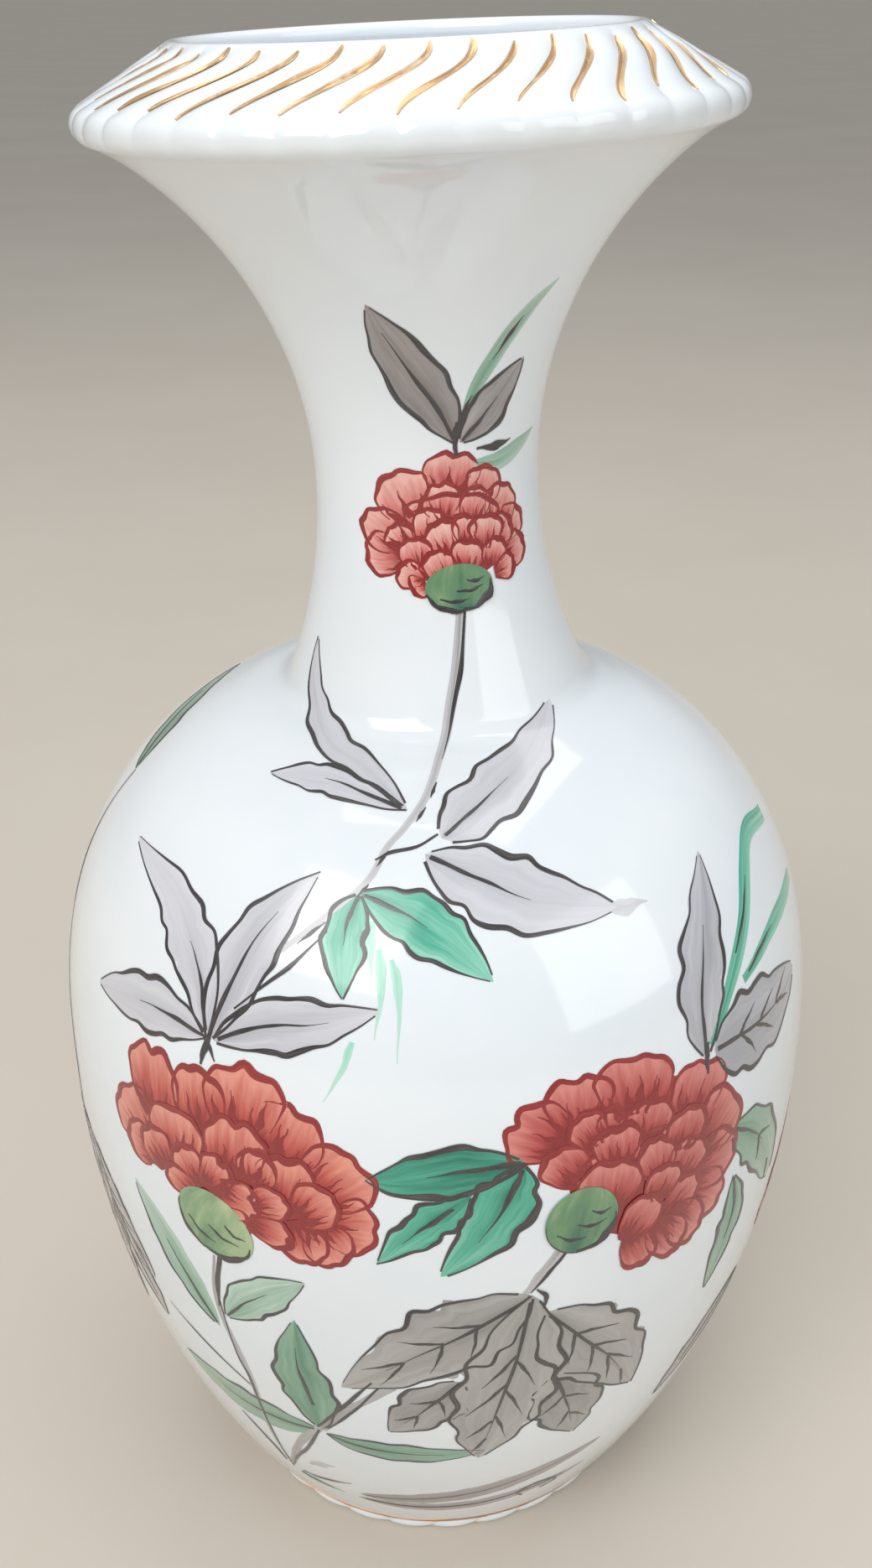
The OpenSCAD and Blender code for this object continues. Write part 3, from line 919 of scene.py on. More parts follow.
# Left bloom, seen from the twig's side: root, tip, width, lobes, row
leftBloom = [
    ((-24, -8), (-37, 1), 19, 1, 0), ((-22, 0), (-23, 20), 19, 2, 0), ((-7, 3), (-9, 20), 17, 1, 0),
    ((13, 2), (19, 18), 20, 2, 0), ((22, -5), (34, 7), 20, 2, 0), ((24, -12), (38, -13), 17, 1, 0),
    ((4, 6), (3, 25), 22, 3, 1), ((23, -13), (30, -23), 14, 1, 1), ((17, -13), (22, -25), 13, 1, 1),
    ((-23, -11), (-34, -10), 13, 1, 1), ((-14, -8), (-16, 7), 18, 2, 2), ((2, -6), (2, 11), 18, 2, 2),
    ((15, -9), (15, 5), 15, 2, 2), ((19, -12), (28, -4), 13, 1, 3), ((-19, -13), (-26, -4), 12, 1, 3),
    ((8, -6), (10, 4), 11, 1, 3), ((-8, -13), (-15, -4), 11, 1, 3), ((-2, -10), (9, -13), 12, 1, 4),
    ((-6, -12), (0, -2), 10, 2, 4), ((7, -12), (16, -7), 10, 1, 4), ((6, -17), (17, -20), 9, 1, 4),
    ((-2, -17), (6, -20), 8, 1, 4), ((-9, -16), (-19, -12), 8, 1, 4)]
rightBloom = [
    ((-20, 10), (-33, 19), 17, 2, 0), ((-17, 12), (-17, 27), 17, 2, 0), ((-3, 13), (-1, 28), 22, 2, 0),
    ((13, 5), (18, 20), 19, 2, 0), ((17, -5), (31, 4), 19, 2, 0), ((14, -10), (31, -11), 18, 1, 0),
    ((12, -15), (27, -24), 16, 1, 0), ((-1, -6), (0, 8), 36, 1, 0), ((-13, 8), (-17, 17), 10, 1, 1),
    ((-10, 8), (-10, 17), 7, 1, 1), ((-1, 4), (1, 16), 14, 2, 1), ((10, -2), (13, 9), 13, 1, 1),
    ((-17, -1), (-24, 9), 12, 1, 1), ((-8, 1), (-8, 12), 13, 2, 2), ((4, -8), (3, 5), 11, 1, 2),
    ((9, -11), (15, 0), 13, 1, 2), ((6, -20), (17, -13), 11, 1, 2), ((8, -19), (19, -31), 13, 1, 2),
    ((3, -20), (11, -34), 12, 1, 3), ((-4, -20), (3, -32), 11, 1, 3), ((3, -14), (6, -4), 11, 1, 3),
    ((-11, -12), (-8, 3), 17, 2, 3), ((-5, -23), (3, -12), 12, 1, 4)]
neckBloom = [
    ((0, 8), (1, 18), 14, 2, 0), ((-9, 3), (-14, 13), 14, 1, 0), ((-11, -4), (-20, 4), 11, 1, 0),
    ((-11, -6), (-21, -5), 11, 1, 0), ((7, 5), (10, 13), 10, 1, 0), ((11, -2), (15, 8), 10, 1, 0),
    ((12, -4), (19, 1), 9, 1, 0), ((13, -9), (20, -7), 9, 1, 0), ((0, -2), (1, 8), 24, 1, 0),
    ((-2, 2), (-3, 11), 9, 2, 1), ((5, 1), (6, 9), 8, 1, 1), ((-5, -3), (-6, 5), 8, 1, 1),
    ((-10, -5), (-14, 1), 7, 1, 1), ((10, -5), (15, 0), 8, 1, 1), ((-1, -6), (-3, 2), 8, 1, 2),
    ((3, -4), (3, 3), 6, 1, 2), ((8, -6), (9, 2), 9, 1, 2), ((-8, -9), (-10, -2), 8, 1, 2),
    ((-7, -12), (-13, -9), 7, 1, 3), ((-2, -12), (-4, -5), 8, 1, 3), ((3, -10), (4, -3), 8, 2, 3),
    ((9, -10), (11, -4), 7, 1, 3), ((10, -12), (16, -11), 6, 1, 3), ((-7, -12), (-10, -14), 6, 1, 3)]


def roundBloom(halfU, halfV, turn, rows):
    # Petals in rows that fan up and out from the calyx, as on the front blooms
    made = []
    swing = math.radians(-turn)
    for row, (size, count, reach) in enumerate(rows):
        for i in range(count):
            fan = math.radians(mixed(-reach, reach, (i + 0.5) / count) + hand.uniform(-5, 5))
            ends = []
            for share in (size * 0.42, size * hand.uniform(0.92, 1.04)):
                u = halfU * share * math.sin(fan)
                v = halfV * (share * math.cos(fan) * 1.05 - 0.12)
                ends.append((u * math.cos(swing) - v * math.sin(swing),
                             u * math.sin(swing) + v * math.cos(swing)))
            span = 2.1 * size * halfU * math.radians(reach) / count
            made.append((ends[0], ends[1], min(19, max(9, span)), 1 + i % 2, row))
    return made


def underPaint(base, group, centre, halfU, halfV, turn, tint):
    # Deep red laid first, so that no white shows between the petals
    swing = math.radians(turn)

    def place(a, b):
        x = 2 * a - 1
        y = 2 * b - 1
        grow = math.sqrt(1 - y * y / 2), math.sqrt(1 - x * x / 2)
        u = x * grow[0] * halfU
        v = y * grow[1] * halfV
        return base.point(centre[0] + u * math.cos(swing) - v * math.sin(swing),
                          centre[1] + u * math.sin(swing) + v * math.cos(swing), 0.045)

    layPatch(group, 24, 18, place, tint)


print("painting the blooms")
# Each row of petals: size, count, how far it fans to each side
petalRows = [(1.0, 9, 125), (0.78, 7, 105), (0.56, 5, 95), (0.36, 4, 110)]
leftSpray = spray(-29, 166)
rightSpray = spray(29, 165)
neckSpray = spray(12, 297)
underPaint(leftSpray, "leftBloomUnder", (1, -3), 32, 16, -20, 0.2)
underPaint(rightSpray, "rightBloomUnder", (2, -1), 23.5, 21, -35, 0.2)
underPaint(neckSpray, "neckBloomUnder", (-0.5, -1), 17.5, 11.5, 0, 0.3)
bloom(leftSpray, "leftBloom", leftBloom, 0.52, 0.2, 1.7, 5)
bloom(rightSpray, "rightBloom", rightBloom, 0.48, 0.16, 1.8, 5)
bloom(neckSpray, "neckBloom", neckBloom, 0.52, 0.25, 1.3, 3)
sideBlooms = [("rightSideBloom", 80, 116, 30, 22, -20, (77, 94), 0.45),
              ("backRightBloom", 148, 162, 35, 24, -14, (151, 138), 0.55),
              ("backLeftBloom", -148, 164, 35, 24, 16, (-151, 141), 0.4)]
for name, azimuth, height, halfU, halfV, turn, calyx, tint in sideBlooms:
    underPaint(spray(azimuth, height), name + "Under", (0, -1), halfU * 0.76, halfV * 0.7, turn, 0.2)
    bloom(spray(azimuth, height), name, roundBloom(halfU, halfV, turn, petalRows), tint, 0.14, 1.5, 3)

print("painting the calyxes")
disc(leftSpray, "calyxes", "calyxInk", (-4.5, -23), 11.5, 9.8, -28, 0.38, 0.85)
disc(rightSpray, "calyxes", "calyxInk", (-17, -12), 9.2, 9.6, -12, 0.42, 0.4, 0.3)
disc(neckSpray, "calyxes", "calyxInk", (1, -14), 8.2, 5.6, 0, 0.36, 0.3, 1.3)
for name, azimuth, height, halfU, halfV, turn, calyx, tint in sideBlooms:
    disc(spray(*calyx), "calyxes", "calyxInk", (0, 0), 10, 7.5, -turn / 2, 0.38, tint)

print("painting the leaves and stems")
# Neck leaves
top = spray(15, 316)
leaf(top, "greyLeaves", "neckInk", [(0, 1), (-4, 9), (-10, 18), (-16, 27), (-21, 36)], 11.5, 0.25,
     wave=0.05, midrib=0.8)
leaf(top, "greyLeaves", "neckInk", [(1, 1), (6, 6), (11, 12), (17, 19)], 9, 0.3, wave=0.04, midrib=0.6,
     inkWidth=0.9)
leaf(top, "sageLeaves", "neckInk", [(0.5, 4), (5, 15), (12, 26), (18, 33), (24, 38)], 4, 0.8, wave=0.03,
     midrib=0, inkWidth=0.8, sides=(0, 0), across=3)
stroke(top, "neckInk", [(8, 20), (12, 26), (15, 30)], 0.9, 0.16, 0.4, 0.1, 0.1)
stroke(top, "neckInk", [(0.6, 5), (2, 9), (3.5, 12)], 0.8, 0.16, 0.4, 0.3, 0.1)
leaf(top, "sageLeaves", "neckInk", [(4, -4), (10, -5), (17, -3), (24, 0)], 4.5, 0.85, wave=0.05,
     midrib=0, sides=(0, 0), across=3)
stroke(top, "neckInk", [(5, -1), (10, -1.2), (14.5, -0.4)], 2.0, 0.16, 0.3, 0.3, 0.1)
stroke(top, "neckInk", [(0, -2), (-0.2, 2), (0, 6)], 1.4, 0.17, 0.3, 0.6, 0.4)

# Shoulder spray: the long stem comes down from the neck bloom
high = spray(-12, 230)
stemLine = [high.at(13.6, 279), (12.5, 58), (11.2, 48), (10.3, 38), (10, 28), (9, 21), (6, 14),
            (3, 9), (0, 1), (-9, -9), (-21, -21)]
stroke(high, "stems", stemLine, 2.3, 0.08, 0.6, 0.8, 0.5, 0.08, 0.1)
stroke(high, "shoulderInk", [high.at(15.4, 278), (13.6, 58), (12.3, 50), (11.2, 40), (11, 34)], 1.1,
       0.16, 0.4, 0.6, 0.1, 0.12, 0.3)
for dash in ([(11.1, 27), (10.6, 22.5)], [(10, 20), (8.5, 16)], [(3.6, 8.4), (1.6, 4.4)],
             [(0.6, 0.2), (-1.5, -2.6)], [(-8, -9.5), (-14, -15.5)]):
    stroke(high, "shoulderInk", dash, 0.8, 0.16, 0.5, 0.3, 0.1)
leaf(high, "lilacLeaves", "shoulderInk", [(6, 19), (-6, 30), (-16, 35), (-23, 42), (-27, 50),
     (-27, 60)], 9, 0.7, wave=0.12, midrib=0, inkWidth=0.9)
leaf(high, "lilacLeaves", "shoulderInk", [(6, 19), (-10, 24), (-20, 24), (-31, 21)], 8, 0.75, wave=0.08,
     midrib=0.5, inkWidth=0.9)
stroke(high, "shoulderInk", [(1, 6), (4, 8), (10, 10), (14, 13)], 0.9, 0.15, 0.5, 0.5, 0.6)
leaf(high, "lilacLeaves", "shoulderInk", [(15, 12), (22, 20), (31, 31), (39, 44)], 17, 0.6, wave=0.1,
     fullness=0.6, midrib=0.55)
leaf(high, "lilacLeaves", "shoulderInk", [(12, 8), (25, 2), (40, -5), (60, -10)], 15.5, 0.6, wave=0.07,
     fullness=0.75, midrib=0.62)
stroke(high, "stems", [(55, -9), (62, -10.5), (69, -11)], 3.4, 0.06, 0.9, 0.6, 0.1)
leaf(high, "tealLeaves", "shoulderInk", [(-1, -2), (10, -6), (20, -12), (31, -21)], 12.5, 0.8,
     wave=0.08, midrib=0.5, inkWidth=0.95)
leaf(high, "tealLeaves", "shoulderInk", [(-1, -2), (-3, -9), (-3, -17), (-2, -26)], 10, 0.8, wave=0.1,
     midrib=0.55, inkWidth=0.95)
for drip, wide in (([(5, -14), (6.5, -23), (6, -34)], 2.2), ([(8, -16), (10.5, -24), (11.5, -39)], 2.0),
                   ([(1, -35), (-1, -42), (-5, -50)], 1.7), ([(2, -8), (3, -14), (4, -20)], 2.6)):
    stroke(high, "runs", drip, wide, 0.06, 0.5, 0.7, 0.1, 0.1, 0.2)

# Left group above the left bloom
left = spray(-33, 193)
leaf(left, "lilacLeaves", "frontInk", [(0, 1), (-5, 14), (-12, 22), (-22, 29), (-43, 33)], 14, 0.8,
     wave=0.09, midrib=0.45, inkWidth=0.95)
leaf(left, "lilacLeaves", "frontInk", [(0, 0), (3, 12), (6, 24), (10, 34), (16, 45)], 14, 0.55,
     wave=0.05, midrib=0.75)
leaf(left, "lilacLeaves", "frontInk", [(0, 1), (-14, 2), (-28, 0), (-43, -4)], 13, 0.6, wave=0.06,
     midrib=0.55)
leaf(left, "lilacLeaves", "frontInk", [(2, 1), (14, 8), (26, 11), (40, 16)], 12.5, 0.55, wave=0.06,
     midrib=0.75)
stroke(left, "frontInk", [(6, 10), (13, 18), (18, 24), (23, 32)], 1.0, 0.19, 0.5, 0.4, 0.2)
stroke(left, "frontInk", [(-1, -6), (0, -1), (1, 3)], 2.0, 0.2, 0.3, 0.3, 0.3)
stroke(left, "frontInk", [(3, -4), (1, -1), (-2, 2)], 1.1, 0.2, 0.3, 0.3, 0.2)

# Left bloom's stem with slim green leaves
stroke(leftSpray, "frontInk", [(-3, -27), (-4, -33), (-6, -44), (-7, -53)], 1.5, 0.2, 0.4, 0.9, 0.3)
stroke(leftSpray, "stems", [(-6, -34), (-7.5, -52), leftSpray.at(-30.5, 86.5), leftSpray.at(-31, 60),
       leftSpray.at(-31, 36)], 1.9, 0.08, 0.35, 0.5, 0.5)
stroke(leftSpray, "frontInk", [(-6.6, -50), leftSpray.at(-31.8, 95), leftSpray.at(-30.6, 84),
       leftSpray.at(-30.6, 60), leftSpray.at(-31, 34)], 0.8, 0.16, 0.6, 0.4, 0.6)
leaf(leftSpray, "sageLeaves", "frontInk", leftSpray.line((-34, 104), (-38, 116), (-43, 130),
     (-48, 141)), 11, 0.8, wave=0.04, midrib=0.6, sides=(1, 0), inkWidth=0.85)
leaf(leftSpray, "sageLeaves", "frontInk", leftSpray.line((-32, 110), (-28, 119), (-23, 127),
     (-17.9, 133.7)), 11.5, 0.9, wave=0.06, midrib=0.6, inkWidth=0.75)
stroke(leftSpray, "frontInk", leftSpray.line((-46, 98.5), (-38, 90), (-31, 81.7)), 0.7, 0.16, 0.6, 0.2,
       0.5)

# Lower left group
low = spray(-19, 72)
leaf(low, "sageLeaves", "frontInk", [(0, 0), (-1, 15), (-3, 30), (-2, 48)], 15, 0.1, wave=0.08,
     midrib=0.8, ribStart=0.28)
leaf(low, "sageLeaves", "frontInk", [(-1, -1), (-12, -3), (-25, -3), (-36, 0), (-46, 4)], 15, 0.5,
     wave=0.05, midrib=0.65, sides=(0, 1), inkWidth=0.8)
leaf(low, "sageLeaves", "frontInk", [(1, -2), (10, -5), (22, -6), (32, -6), (43, -5)], 9.5, 0.35,
     wave=0.05, midrib=0.75, inkWidth=0.7)
stroke(low, "stems", [low.at(-31, 36), low.at(-27, 50), (-6, -8), (0, 1)], 2.8, 0.09, 0.2, 0.6, 0.9)
stroke(low, "stems", [(0, 0), (8.5, 14), low.at(-6.3, 99.1)], 3.0, 0.09, 0.2, 0.9, 0.8)
stroke(low, "frontInk", [(2, 1.5), (10, 13.5), (18, 27)], 0.9, 0.17, 0.4, 0.6, 0.6)
stroke(low, "frontInk", [low.at(-30.5, 36), low.at(-27, 47), low.at(-23, 58), (-1, -1)], 1.2, 0.17, 0.4,
       0.5, 0.6)
stroke(low, "frontInk", [(-1, 1), (7.5, 15), (16.4, 29)], 1.2, 0.17, 0.4, 0.6, 0.5)
stroke(low, "frontInk", low.line((-32, 37), (-33.5, 48), (-37, 60)), 1.1, 0.17, 0.5, 0.6, 0.3)
stroke(low, "frontInk", low.line((-29, 33), (-24, 34), (-17, 38)), 1.0, 0.17, 0.5, 0.6, 0.1)
leaf(low, "sageLeaves", "frontInk", low.line((-30, 31), (-26, 29), (-20, 27)), 4, 0.45, midrib=0.8,
     sides=(0, 0), inkWidth=0.7, across=4)
stroke(low, "stems", low.line((-25, 44), (-22, 47), (-19, 49)), 4.0, 0.07, 0.75, 0.4, 0.1)
leaf(low, "veinedLeaves", "frontInk", low.line((-60, 118), (-56, 108), (-52, 98), (-49, 88)), 11, 0.6,
     wave=0.08, midrib=0.8, inkWidth=0.9)

# Grey leaves under the right bloom, with side veins
fan = spray(13, 132)
for line, width, tint, lift, veins in (
        ([(-16, -30), (-24, -42), (-33, -55)], 17, 0.15, -0.03, 4),
        ([(8, -33), (13, -49), (17, -67)], 20, 0.2, -0.03, 4),
        ([(0, 0), (-14, -10), (-28, -20), (-46, -36)], 25, 0.4, 0.0, 6),
        ([(4, -7), (14, -20), (24, -34), (33, -52)], 25, 0.3, 0.0, 7),
        ([(0, 0), (-3, -25), (-7, -50), (-9, -70)], 25, 0.45, 0.03, 7)):
    leaf(fan, "veinedLeaves", "frontInk", line, width, tint, lift * 2, 0.1, 0.8, 0.88, 1.0, 0.8, veins)
stroke(fan, "frontInk", [(1, 2), (3.5, -1), (3, -5)], 1.3, 0.3, 0.4, 0.4, 0.2)
stroke(rightSpray, "stems", [(-21, -19), (-25, -24), rightSpray.at(12, 133)], 2.6, 0.08, 0.3, 0.8, 0.6)
stroke(rightSpray, "frontInk", [(-20, -20), (-24, -25.5), rightSpray.at(12.8, 133)], 1.0, 0.17, 0.4,
       0.7, 0.3)

# Teal group left of the right bloom
mid = spray(13, 173)
leaf(mid, "tealLeaves", "frontInk", [(-2.5, -0.5), (-12, -1), (-21, -2), (-31, -4), (-39, -4.5)], 12.5,
     0.2, wave=0.05, midrib=0.6, inkWidth=1.4)
leaf(mid, "tealLeaves", "frontInk", [(-15, -8), (-22, -14), (-29, -20), (-37, -29)], 10.5, 0.5,
     wave=0.12, midrib=0.75, ribStart=0.2, inkWidth=1.25)
leaf(mid, "tealLeaves", "frontInk", [(-3, -1.5), (-6, -9), (-12, -20), (-22, -32)], 15, 0.5, wave=0.1,
     midrib=0.72, inkWidth=1.5, fullness=0.8)

# Green leaves right of the right bloom
leaf(rightSpray, "sageLeaves", "frontInk", rightSpray.line((46, 159), (52, 151), (57, 140), (61, 126)),
     16, 0.5, wave=0.08, fullness=0.5, midrib=0.5, veins=3)
leaf(rightSpray, "sageLeaves", "frontInk", rightSpray.line((47, 143), (48.5, 130), (47, 118),
     (45, 105)), 10.5, 0.4, wave=0.08, midrib=0.6, inkWidth=0.9)

# Upper right group
right = spray(40, 185)
leaf(right, "lilacLeaves", "frontInk", [(0, -1), (1, 13), (7, 28), (16, 45)], 15, 0.1, wave=0.09,
     midrib=0.7)
stroke(right, "blades", right.line((41, 187), (47, 197), (54, 207), (61, 216), (69, 220), (80, 217)),
       5.6, 0.075, 0.85, 0.5, 0.7, 0.06)
stroke(right, "blades", right.line((50.5, 196), (60, 200), (72.6, 201), (79, 200)), 4.8, 0.085, 0.85,
       0.5, 0.6, 0.06)
stroke(right, "frontInk", right.line((50, 203), (55, 209), (60, 215)), 0.9, 0.16, 0.4, 0.5, 0.1)
stroke(right, "frontInk", right.line((52, 197), (57, 199.5), (62, 201)), 0.9, 0.16, 0.4, 0.6, 0.1)
leaf(right, "lilacLeaves", "frontInk", [(3, 0), (14, -1), (30, -2), (47, 0)], 20, -0.15, wave=0.07,
     fullness=0.62, midrib=0.78, inkWidth=1.15, veins=6, lift=0.02)
stroke(right, "frontInk", [(0, -5), (0, -1), (1, 3)], 1.6, 0.2, 0.3, 0.3, 0.3)

# Long grey blades that run along the foot, and a small curl
base = spray(0, 34)
for line, wide in (((( -16, 30), (-5, 33), (8, 38), (20, 45), (32, 52)), 9.0),
                   (((-17, 26.5), (-5, 25.5), (8, 27), (20, 31), (32, 36)), 8.0)):
    points = [base.at(*p) for p in line]
    leaf(base, "greyLeaves", "frontInk", points, wide, 0.35, wave=0.04, midrib=0.9, sides=(0, 0),
         inkWidth=0.8, across=3, fullness=0.6)
curl = [base.at(*p) for p in ((19, 26), (17.5, 29.5), (20, 33.5), (24, 34), (26, 31), (23, 27.6))]
stroke(base, "frontInk", curl, 1.1, 0.16, 0.5, 0.7, 0.5)

# Sides and back carry the same sprays on: azimuth, height, turn from upright, length, width
backLeaves = {
    "greyLeaves": [(147, 191, -70, 43, 12), (148, 192, -14, 43, 13), (148, 192, 46, 41, 12),
                   (-148, 194, -50, 43, 12), (-148, 194, 4, 43, 13), (-148, 194, 60, 41, 11),
                   (60, 92, 216, 43, 13)],
    "veinedLeaves": [(-70, 136, 132, 49, 17), (-65, 136, 176, 62, 20), (-72, 134, 222, 49, 18),
                     (180, 128, -130, 51, 17), (180, 128, 180, 57, 22), (180, 128, 132, 51, 18)],
    "lilacLeaves": [(176, 212, -24, 40, 12), (172, 214, 34, 40, 12)],
    "sageLeaves": [(126, 66, -40, 41, 9), (126, 66, 8, 43, 14), (126, 66, 70, 39, 9),
                   (-122, 70, -48, 39, 9), (-122, 70, 30, 43, 13), (-84, 226, -50, 40, 12)],
    "tealLeaves": [(190, 172, -92, 37, 11), (190, 170, -128, 41, 11)]}


def bowed(turn, length, bow):
    swing = math.radians(turn)
    run = (math.sin(swing), math.cos(swing))
    return [(run[0] * length * t + run[1] * bow * math.sin(math.pi * t),
             run[1] * length * t - run[0] * bow * math.sin(math.pi * t)) for t in (0, 0.33, 0.67, 1)]


for group, leaves in backLeaves.items():
    for azimuth, height, turn, length, width in leaves:
        leaf(spray(azimuth, height), group, "backInk", bowed(turn, length, hand.uniform(-2.5, 2.5)),
             width, hand.uniform(0.2, 0.7), wave=0.07,
             veins=8 if group == "veinedLeaves" else 0,
             fullness=0.7 if group == "veinedLeaves" else 0.85)
backStems = [[(80, 86), (78, 68), (76, 50)], [(152, 130), (140, 100), (128, 72)],
             [(-151, 133), (-138, 100), (-124, 72)], [(-70, 136), (-72, 160), (-84, 190), (-84, 226)],
             [(180, 128), (176, 170), (174, 213)]]
for stem in backStems:
    base = spray(*stem[0])
    points = [base.at(*p) for p in stem]
    stroke(base, "stems", points, 2.2, 0.08, 0.4, 0.8, 0.5)
    stroke(base, "backInk", [(u + 0.7, v) for u, v in points], 0.8, 0.16, 0.5, 0.6, 0.2)

# Enamel finishes: strokes run along each mark, so the colour streaks follow its own map
enamel = {"rough": 0.22, "coat": 0.5}


def streakField(made, acrossScale, alongScale, shift):
    # Brush streaks along the mark, different on each mark
    place = made.patchPlace()
    offset = made.node("ShaderNodeCombineXYZ", {}, {2: made.tint() * 37.0 + shift})
    moved = made.node("ShaderNodeVectorMath", {"operation": "ADD"}, {0: place, 1: offset})
    scaled = made.node("ShaderNodeVectorMath", {"operation": "MULTIPLY"},
                       {0: moved, 1: (acrossScale, alongScale, 1.0)})
    return made.noise(scaled, 1.0, 3.0, 0.55)


def enamelSurface(made, colour, streaks, sheen=0.0):
    rough = enamel["rough"] + (streaks - 0.5) * 0.22 + sheen
    made.bump(streaks, 0.25, 0.00012)
    return made.surface({"Base Color": colour, "Roughness": rough, "IOR": 1.5,
                         "Coat Weight": enamel["coat"], "Coat Roughness": 0.08})


def petalFinish(name, rootColour, midColour, tipColour, flame):
    made = finish(name)
    spot = made.node("ShaderNodeSeparateXYZ", {}, {0: made.patchPlace()}, 1)
    fine = streakField(made, 11.0, 1.6, 0.0)
    broad = streakField(made, 4.0, 1.1, 5.0)
    along = made.limited(spot + (fine - 0.5) * 0.75 + (made.tint() - 0.5) * 0.35)
    colour = made.node("ShaderNodeValToRGB", {"stops": [
        (0.14, rootColour), (0.42, midColour), (0.7, mixShade(midColour, tipColour, 0.5)),
        (0.95, tipColour)]}, {0: along})
    colour = made.mixColour(made.limited((broad - 0.52) * 4) * made.tint() * 0.55, colour, flame)
    return enamelSurface(made, colour, fine)


def mixShade(a, b, share):
    return tuple(mixed(a[k], b[k], share) for k in range(4))


def washFinish(name, deep, middle, light, contrast=1.0):
    made = finish(name)
    place = made.patchPlace()
    across = made.node("ShaderNodeSeparateXYZ", {}, {0: place}, 0)
    along = made.node("ShaderNodeSeparateXYZ", {}, {0: place}, 1)
    fine = streakField(made, 9.0, 1.3, 0.0)
    broad = streakField(made, 2.2, 1.2, 9.0)
    middleDark = 1 - made.limited(made.maths("ABSOLUTE", across - 0.5) * 3.2)
    tone = (made.tint() * 0.6 + 0.2 + (fine - 0.5) * 0.7 * contrast + (broad - 0.5) * 0.9 * contrast
            - middleDark * (1 - along) * 0.35 + (along - 0.5) * 0.12)
    colour = made.node("ShaderNodeValToRGB", {"stops": [
        (0.0, deep), (0.5, middle), (1.0, light)]}, {0: made.limited(tone)})
    return enamelSurface(made, colour, fine)


def inkFinish(name, dark, thin):
    made = finish(name)
    fine = streakField(made, 3.0, 5.0, 2.0)
    tone = made.limited((fine - 0.42) * 2.4 * made.tint() + 0.1)
    return enamelSurface(made, made.mixColour(tone, dark, thin), fine, 0.05)


def goldFinish(name, base, bright, worn, wornShare):
    made = finish(name)
    place = made.objectPlace()
    fine = streakField(made, 7.0, 3.0, 1.0)
    patch = made.noise(place, 160.0, 4.0, 0.6)
    glint = made.limited((fine - 0.55) * 5)
    rubbed = made.limited((patch - wornShare) * 9)
    colour = made.mixColour(rubbed, made.mixColour(glint, base, bright), worn)
    made.bump(fine + patch * 0.6, 0.35, 0.00015)
    return made.surface({"Base Color": colour, "Metallic": 0.75 - rubbed * 0.35,
                         "Roughness": 0.3 + (fine - 0.5) * 0.25 + rubbed * 0.15})


print("mixing the finishes")
orangePetals = petalFinish("orangeRedPetals", shade(146, 38, 40), shade(190, 76, 68),
                           shade(228, 150, 134), shade(236, 168, 118))
brickPetals = petalFinish("brickRedPetals", shade(130, 32, 36), shade(180, 70, 68),
                          shade(218, 136, 128), shade(208, 108, 92))
pinkPetals = petalFinish("rosePetals", shade(164, 56, 58), shade(208, 112, 106),
                         shade(238, 184, 174), shade(248, 220, 212))
underRed = washFinish("deepRedUnderPaint", shade(144, 42, 44), shade(172, 60, 58), shade(196, 88, 80))
redLine = inkFinish("darkRedLine", shade(136, 32, 36), shade(180, 64, 60))
greyWash = washFinish("warmGreyWash", shade(128, 122, 120), shade(168, 163, 163), shade(208, 205, 210))
veinWash = washFinish("deepGreyWash", shade(142, 140, 138), shade(176, 174, 172), shade(204, 203, 203))
lilacWash = washFinish("lilacWash", shade(170, 171, 178), shade(206, 207, 214), shade(228, 229, 237),
                       0.8)
sageWash = washFinish("sageWash", shade(88, 140, 114), shade(140, 180, 158), shade(200, 222, 210))
tealWash = washFinish("tealWash", shade(26, 122, 102), shade(84, 178, 152), shade(160, 220, 200), 1.3)
calyxWash = washFinish("calyxWash", shade(62, 114, 92), shade(116, 154, 114), shade(190, 206, 162), 0.9)
stemWash = washFinish("stemWash", shade(150, 146, 144), shade(196, 196, 200), shade(222, 224, 230), 0.7)
runWash = washFinish("paleTealRuns", shade(150, 218, 196), shade(186, 230, 214), shade(214, 240, 230))
leafInk = inkFinish("darkGreyLine", shade(52, 50, 54), shade(104, 98, 96))
goldLeaf = goldFinish("wornGold", shade(222, 184, 138), shade(250, 226, 172), shade(230, 210, 182), 0.56)
footGoldLeaf = goldFinish("rubbedGold", shade(190, 128, 62), shade(232, 184, 104),
                          shade(186, 146, 100), 0.6)

print("joining each painted layer")
bloomPetals = {"leftBloom": orangePetals, "rightBloom": brickPetals, "neckBloom": pinkPetals,
               "rightSideBloom": orangePetals, "backRightBloom": brickPetals,
               "backLeftBloom": orangePetals}
red = ("red_enamel", ["bloom_enamel"])
calyx = ("calyx_enamel", ["calyx_enamel"])
grey = ("grey_enamel", ["grey_leaf_enamel"], 0.1)
teal = ("teal_enamel", ["teal_leaf_enamel"], 0.1)
gold = "burnished_gold"
line = ("line_enamel", ["stem_enamel"])
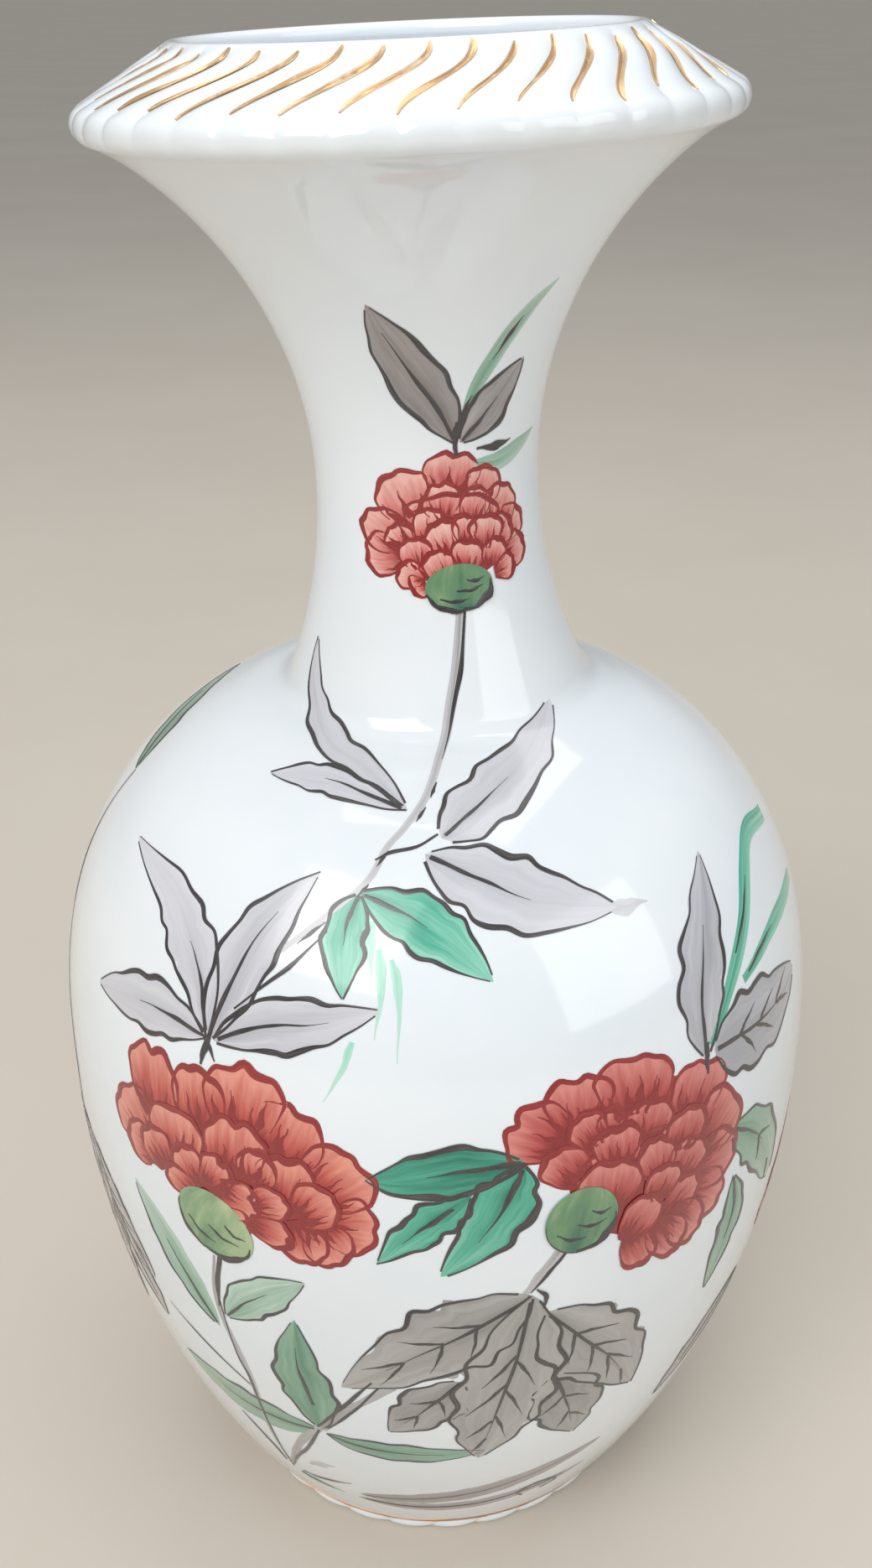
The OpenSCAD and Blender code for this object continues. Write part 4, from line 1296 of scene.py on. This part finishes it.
# Each layer: group, piece, finish, slot, the nodes it replaces and its thickness
painting = [("rimGold", "rimGilding", goldLeaf, gold, ["rim_gilding"], 0.2),
            ("footGold", "footGilding", footGoldLeaf, gold, ["foot_gilding"], 0.2)]
painting += [(name + "Under", name + "UnderPaint", underRed, *red, 0.05) for name in bloomPetals]
for name, petals in bloomPetals.items():
    painting += [(name, name + "Petals", petals, *red, 0.09),
                 (name + "Lines", name + "Lines", redLine, *red, 0.05)]
painting += [("calyxes", "calyxes", calyxWash, *calyx, 0.12),
             ("calyxInk", "calyxStrokes", leafInk, *calyx, 0.06),
             ("greyLeaves", "greyLeaves", greyWash, *grey),
             ("veinedLeaves", "veinedLeaves", veinWash, *grey),
             ("lilacLeaves", "lilacLeaves", lilacWash, *grey),
             ("sageLeaves", "sageLeaves", sageWash, "sage_enamel", ["green_leaf_enamel"], 0.1),
             ("tealLeaves", "tealLeaves", tealWash, *teal),
             ("blades", "tealBlades", tealWash, *teal),
             ("runs", "tealRuns", runWash, *teal),
             ("stems", "stems", stemWash, *line, 0.1)]
painting += [(name + "Ink", name + "BrushLines", leafInk, *line, 0.06)
             for name in ("neck", "shoulder", "front", "back")]
deselectAll()
for blank in blanks.values():
    bpy.data.objects.remove(blank)
for layer in painting:
    gather(*layer)

# Floor, light and camera
room = {"floorSize": 80.0, "floorTone": shade(214, 206, 194), "floorDark": shade(200, 190, 176),
        "sky": shade(236, 240, 244), "skyLow": shade(176, 170, 164), "skyStrength": 0.55}
print("setting the room")
deselectAll()
bpy.ops.mesh.primitive_plane_add(size=room["floorSize"], location=(0, 0, 0))
floorPiece = bpy.context.object
floorPiece.name = "floor"
floorLook = finish("paleFloor")
grain = floorLook.noise(floorLook.objectPlace(), 3.0, 5.0, 0.6)
floorPiece.data.materials.append(floorLook.surface({
    "Base Color": floorLook.mixColour(grain, room["floorDark"], room["floorTone"]),
    "Roughness": 0.7}))

sky = bpy.data.worlds.new("softSky")
bpy.context.scene.world = sky
sky.use_nodes = True
skyTree = sky.node_tree
background = skyTree.nodes["Background"]
skyPlace = skyTree.nodes.new("ShaderNodeTexCoord")
skyParts = skyTree.nodes.new("ShaderNodeSeparateXYZ")
skyRamp = skyTree.nodes.new("ShaderNodeValToRGB")
skyRamp.color_ramp.elements[0].position = 0.0
skyRamp.color_ramp.elements[0].color = room["skyLow"]
skyRamp.color_ramp.elements[1].position = 0.6
skyRamp.color_ramp.elements[1].color = room["sky"]
skyTree.links.new(skyPlace.outputs["Generated"], skyParts.inputs[0])
skyTree.links.new(skyParts.outputs[2], skyRamp.inputs[0])
skyTree.links.new(skyRamp.outputs[0], background.inputs[0])
background.inputs[1].default_value = room["skyStrength"]

lamps = [("keyLamp", (-0.9, -1.3, 1.5), 1.3, 23.5, (1.0, 0.985, 0.96)),
         ("fillLamp", (1.4, -1.0, 0.9), 1.2, 8.0, (0.94, 0.97, 1.0)),
         ("topLamp", (0.1, 0.4, 1.9), 1.4, 12.0, (1.0, 1.0, 1.0))]
for name, place, size, power, colour in lamps:
    bpy.ops.object.light_add(type="AREA", location=place)
    lamp = bpy.context.object
    lamp.name = name
    lamp.data.size = size
    lamp.data.energy = power
    lamp.data.color = colour
    lamp.rotation_euler = (Vector((0, 0, 0.22)) - Vector(place)).to_track_quat("-Z", "Y").to_euler()

bpy.ops.object.camera_add(location=(0, -0.3736, 0.4125), rotation=(math.radians(62.4), 0, 0))
camera = bpy.context.object
camera.data.sensor_width = 36
camera.data.lens = 36.13
camera.data.clip_start = 0.01
bpy.context.scene.camera = camera
bpy.context.scene.view_settings.view_transform = "Standard"
bpy.context.scene.view_settings.look = "None"
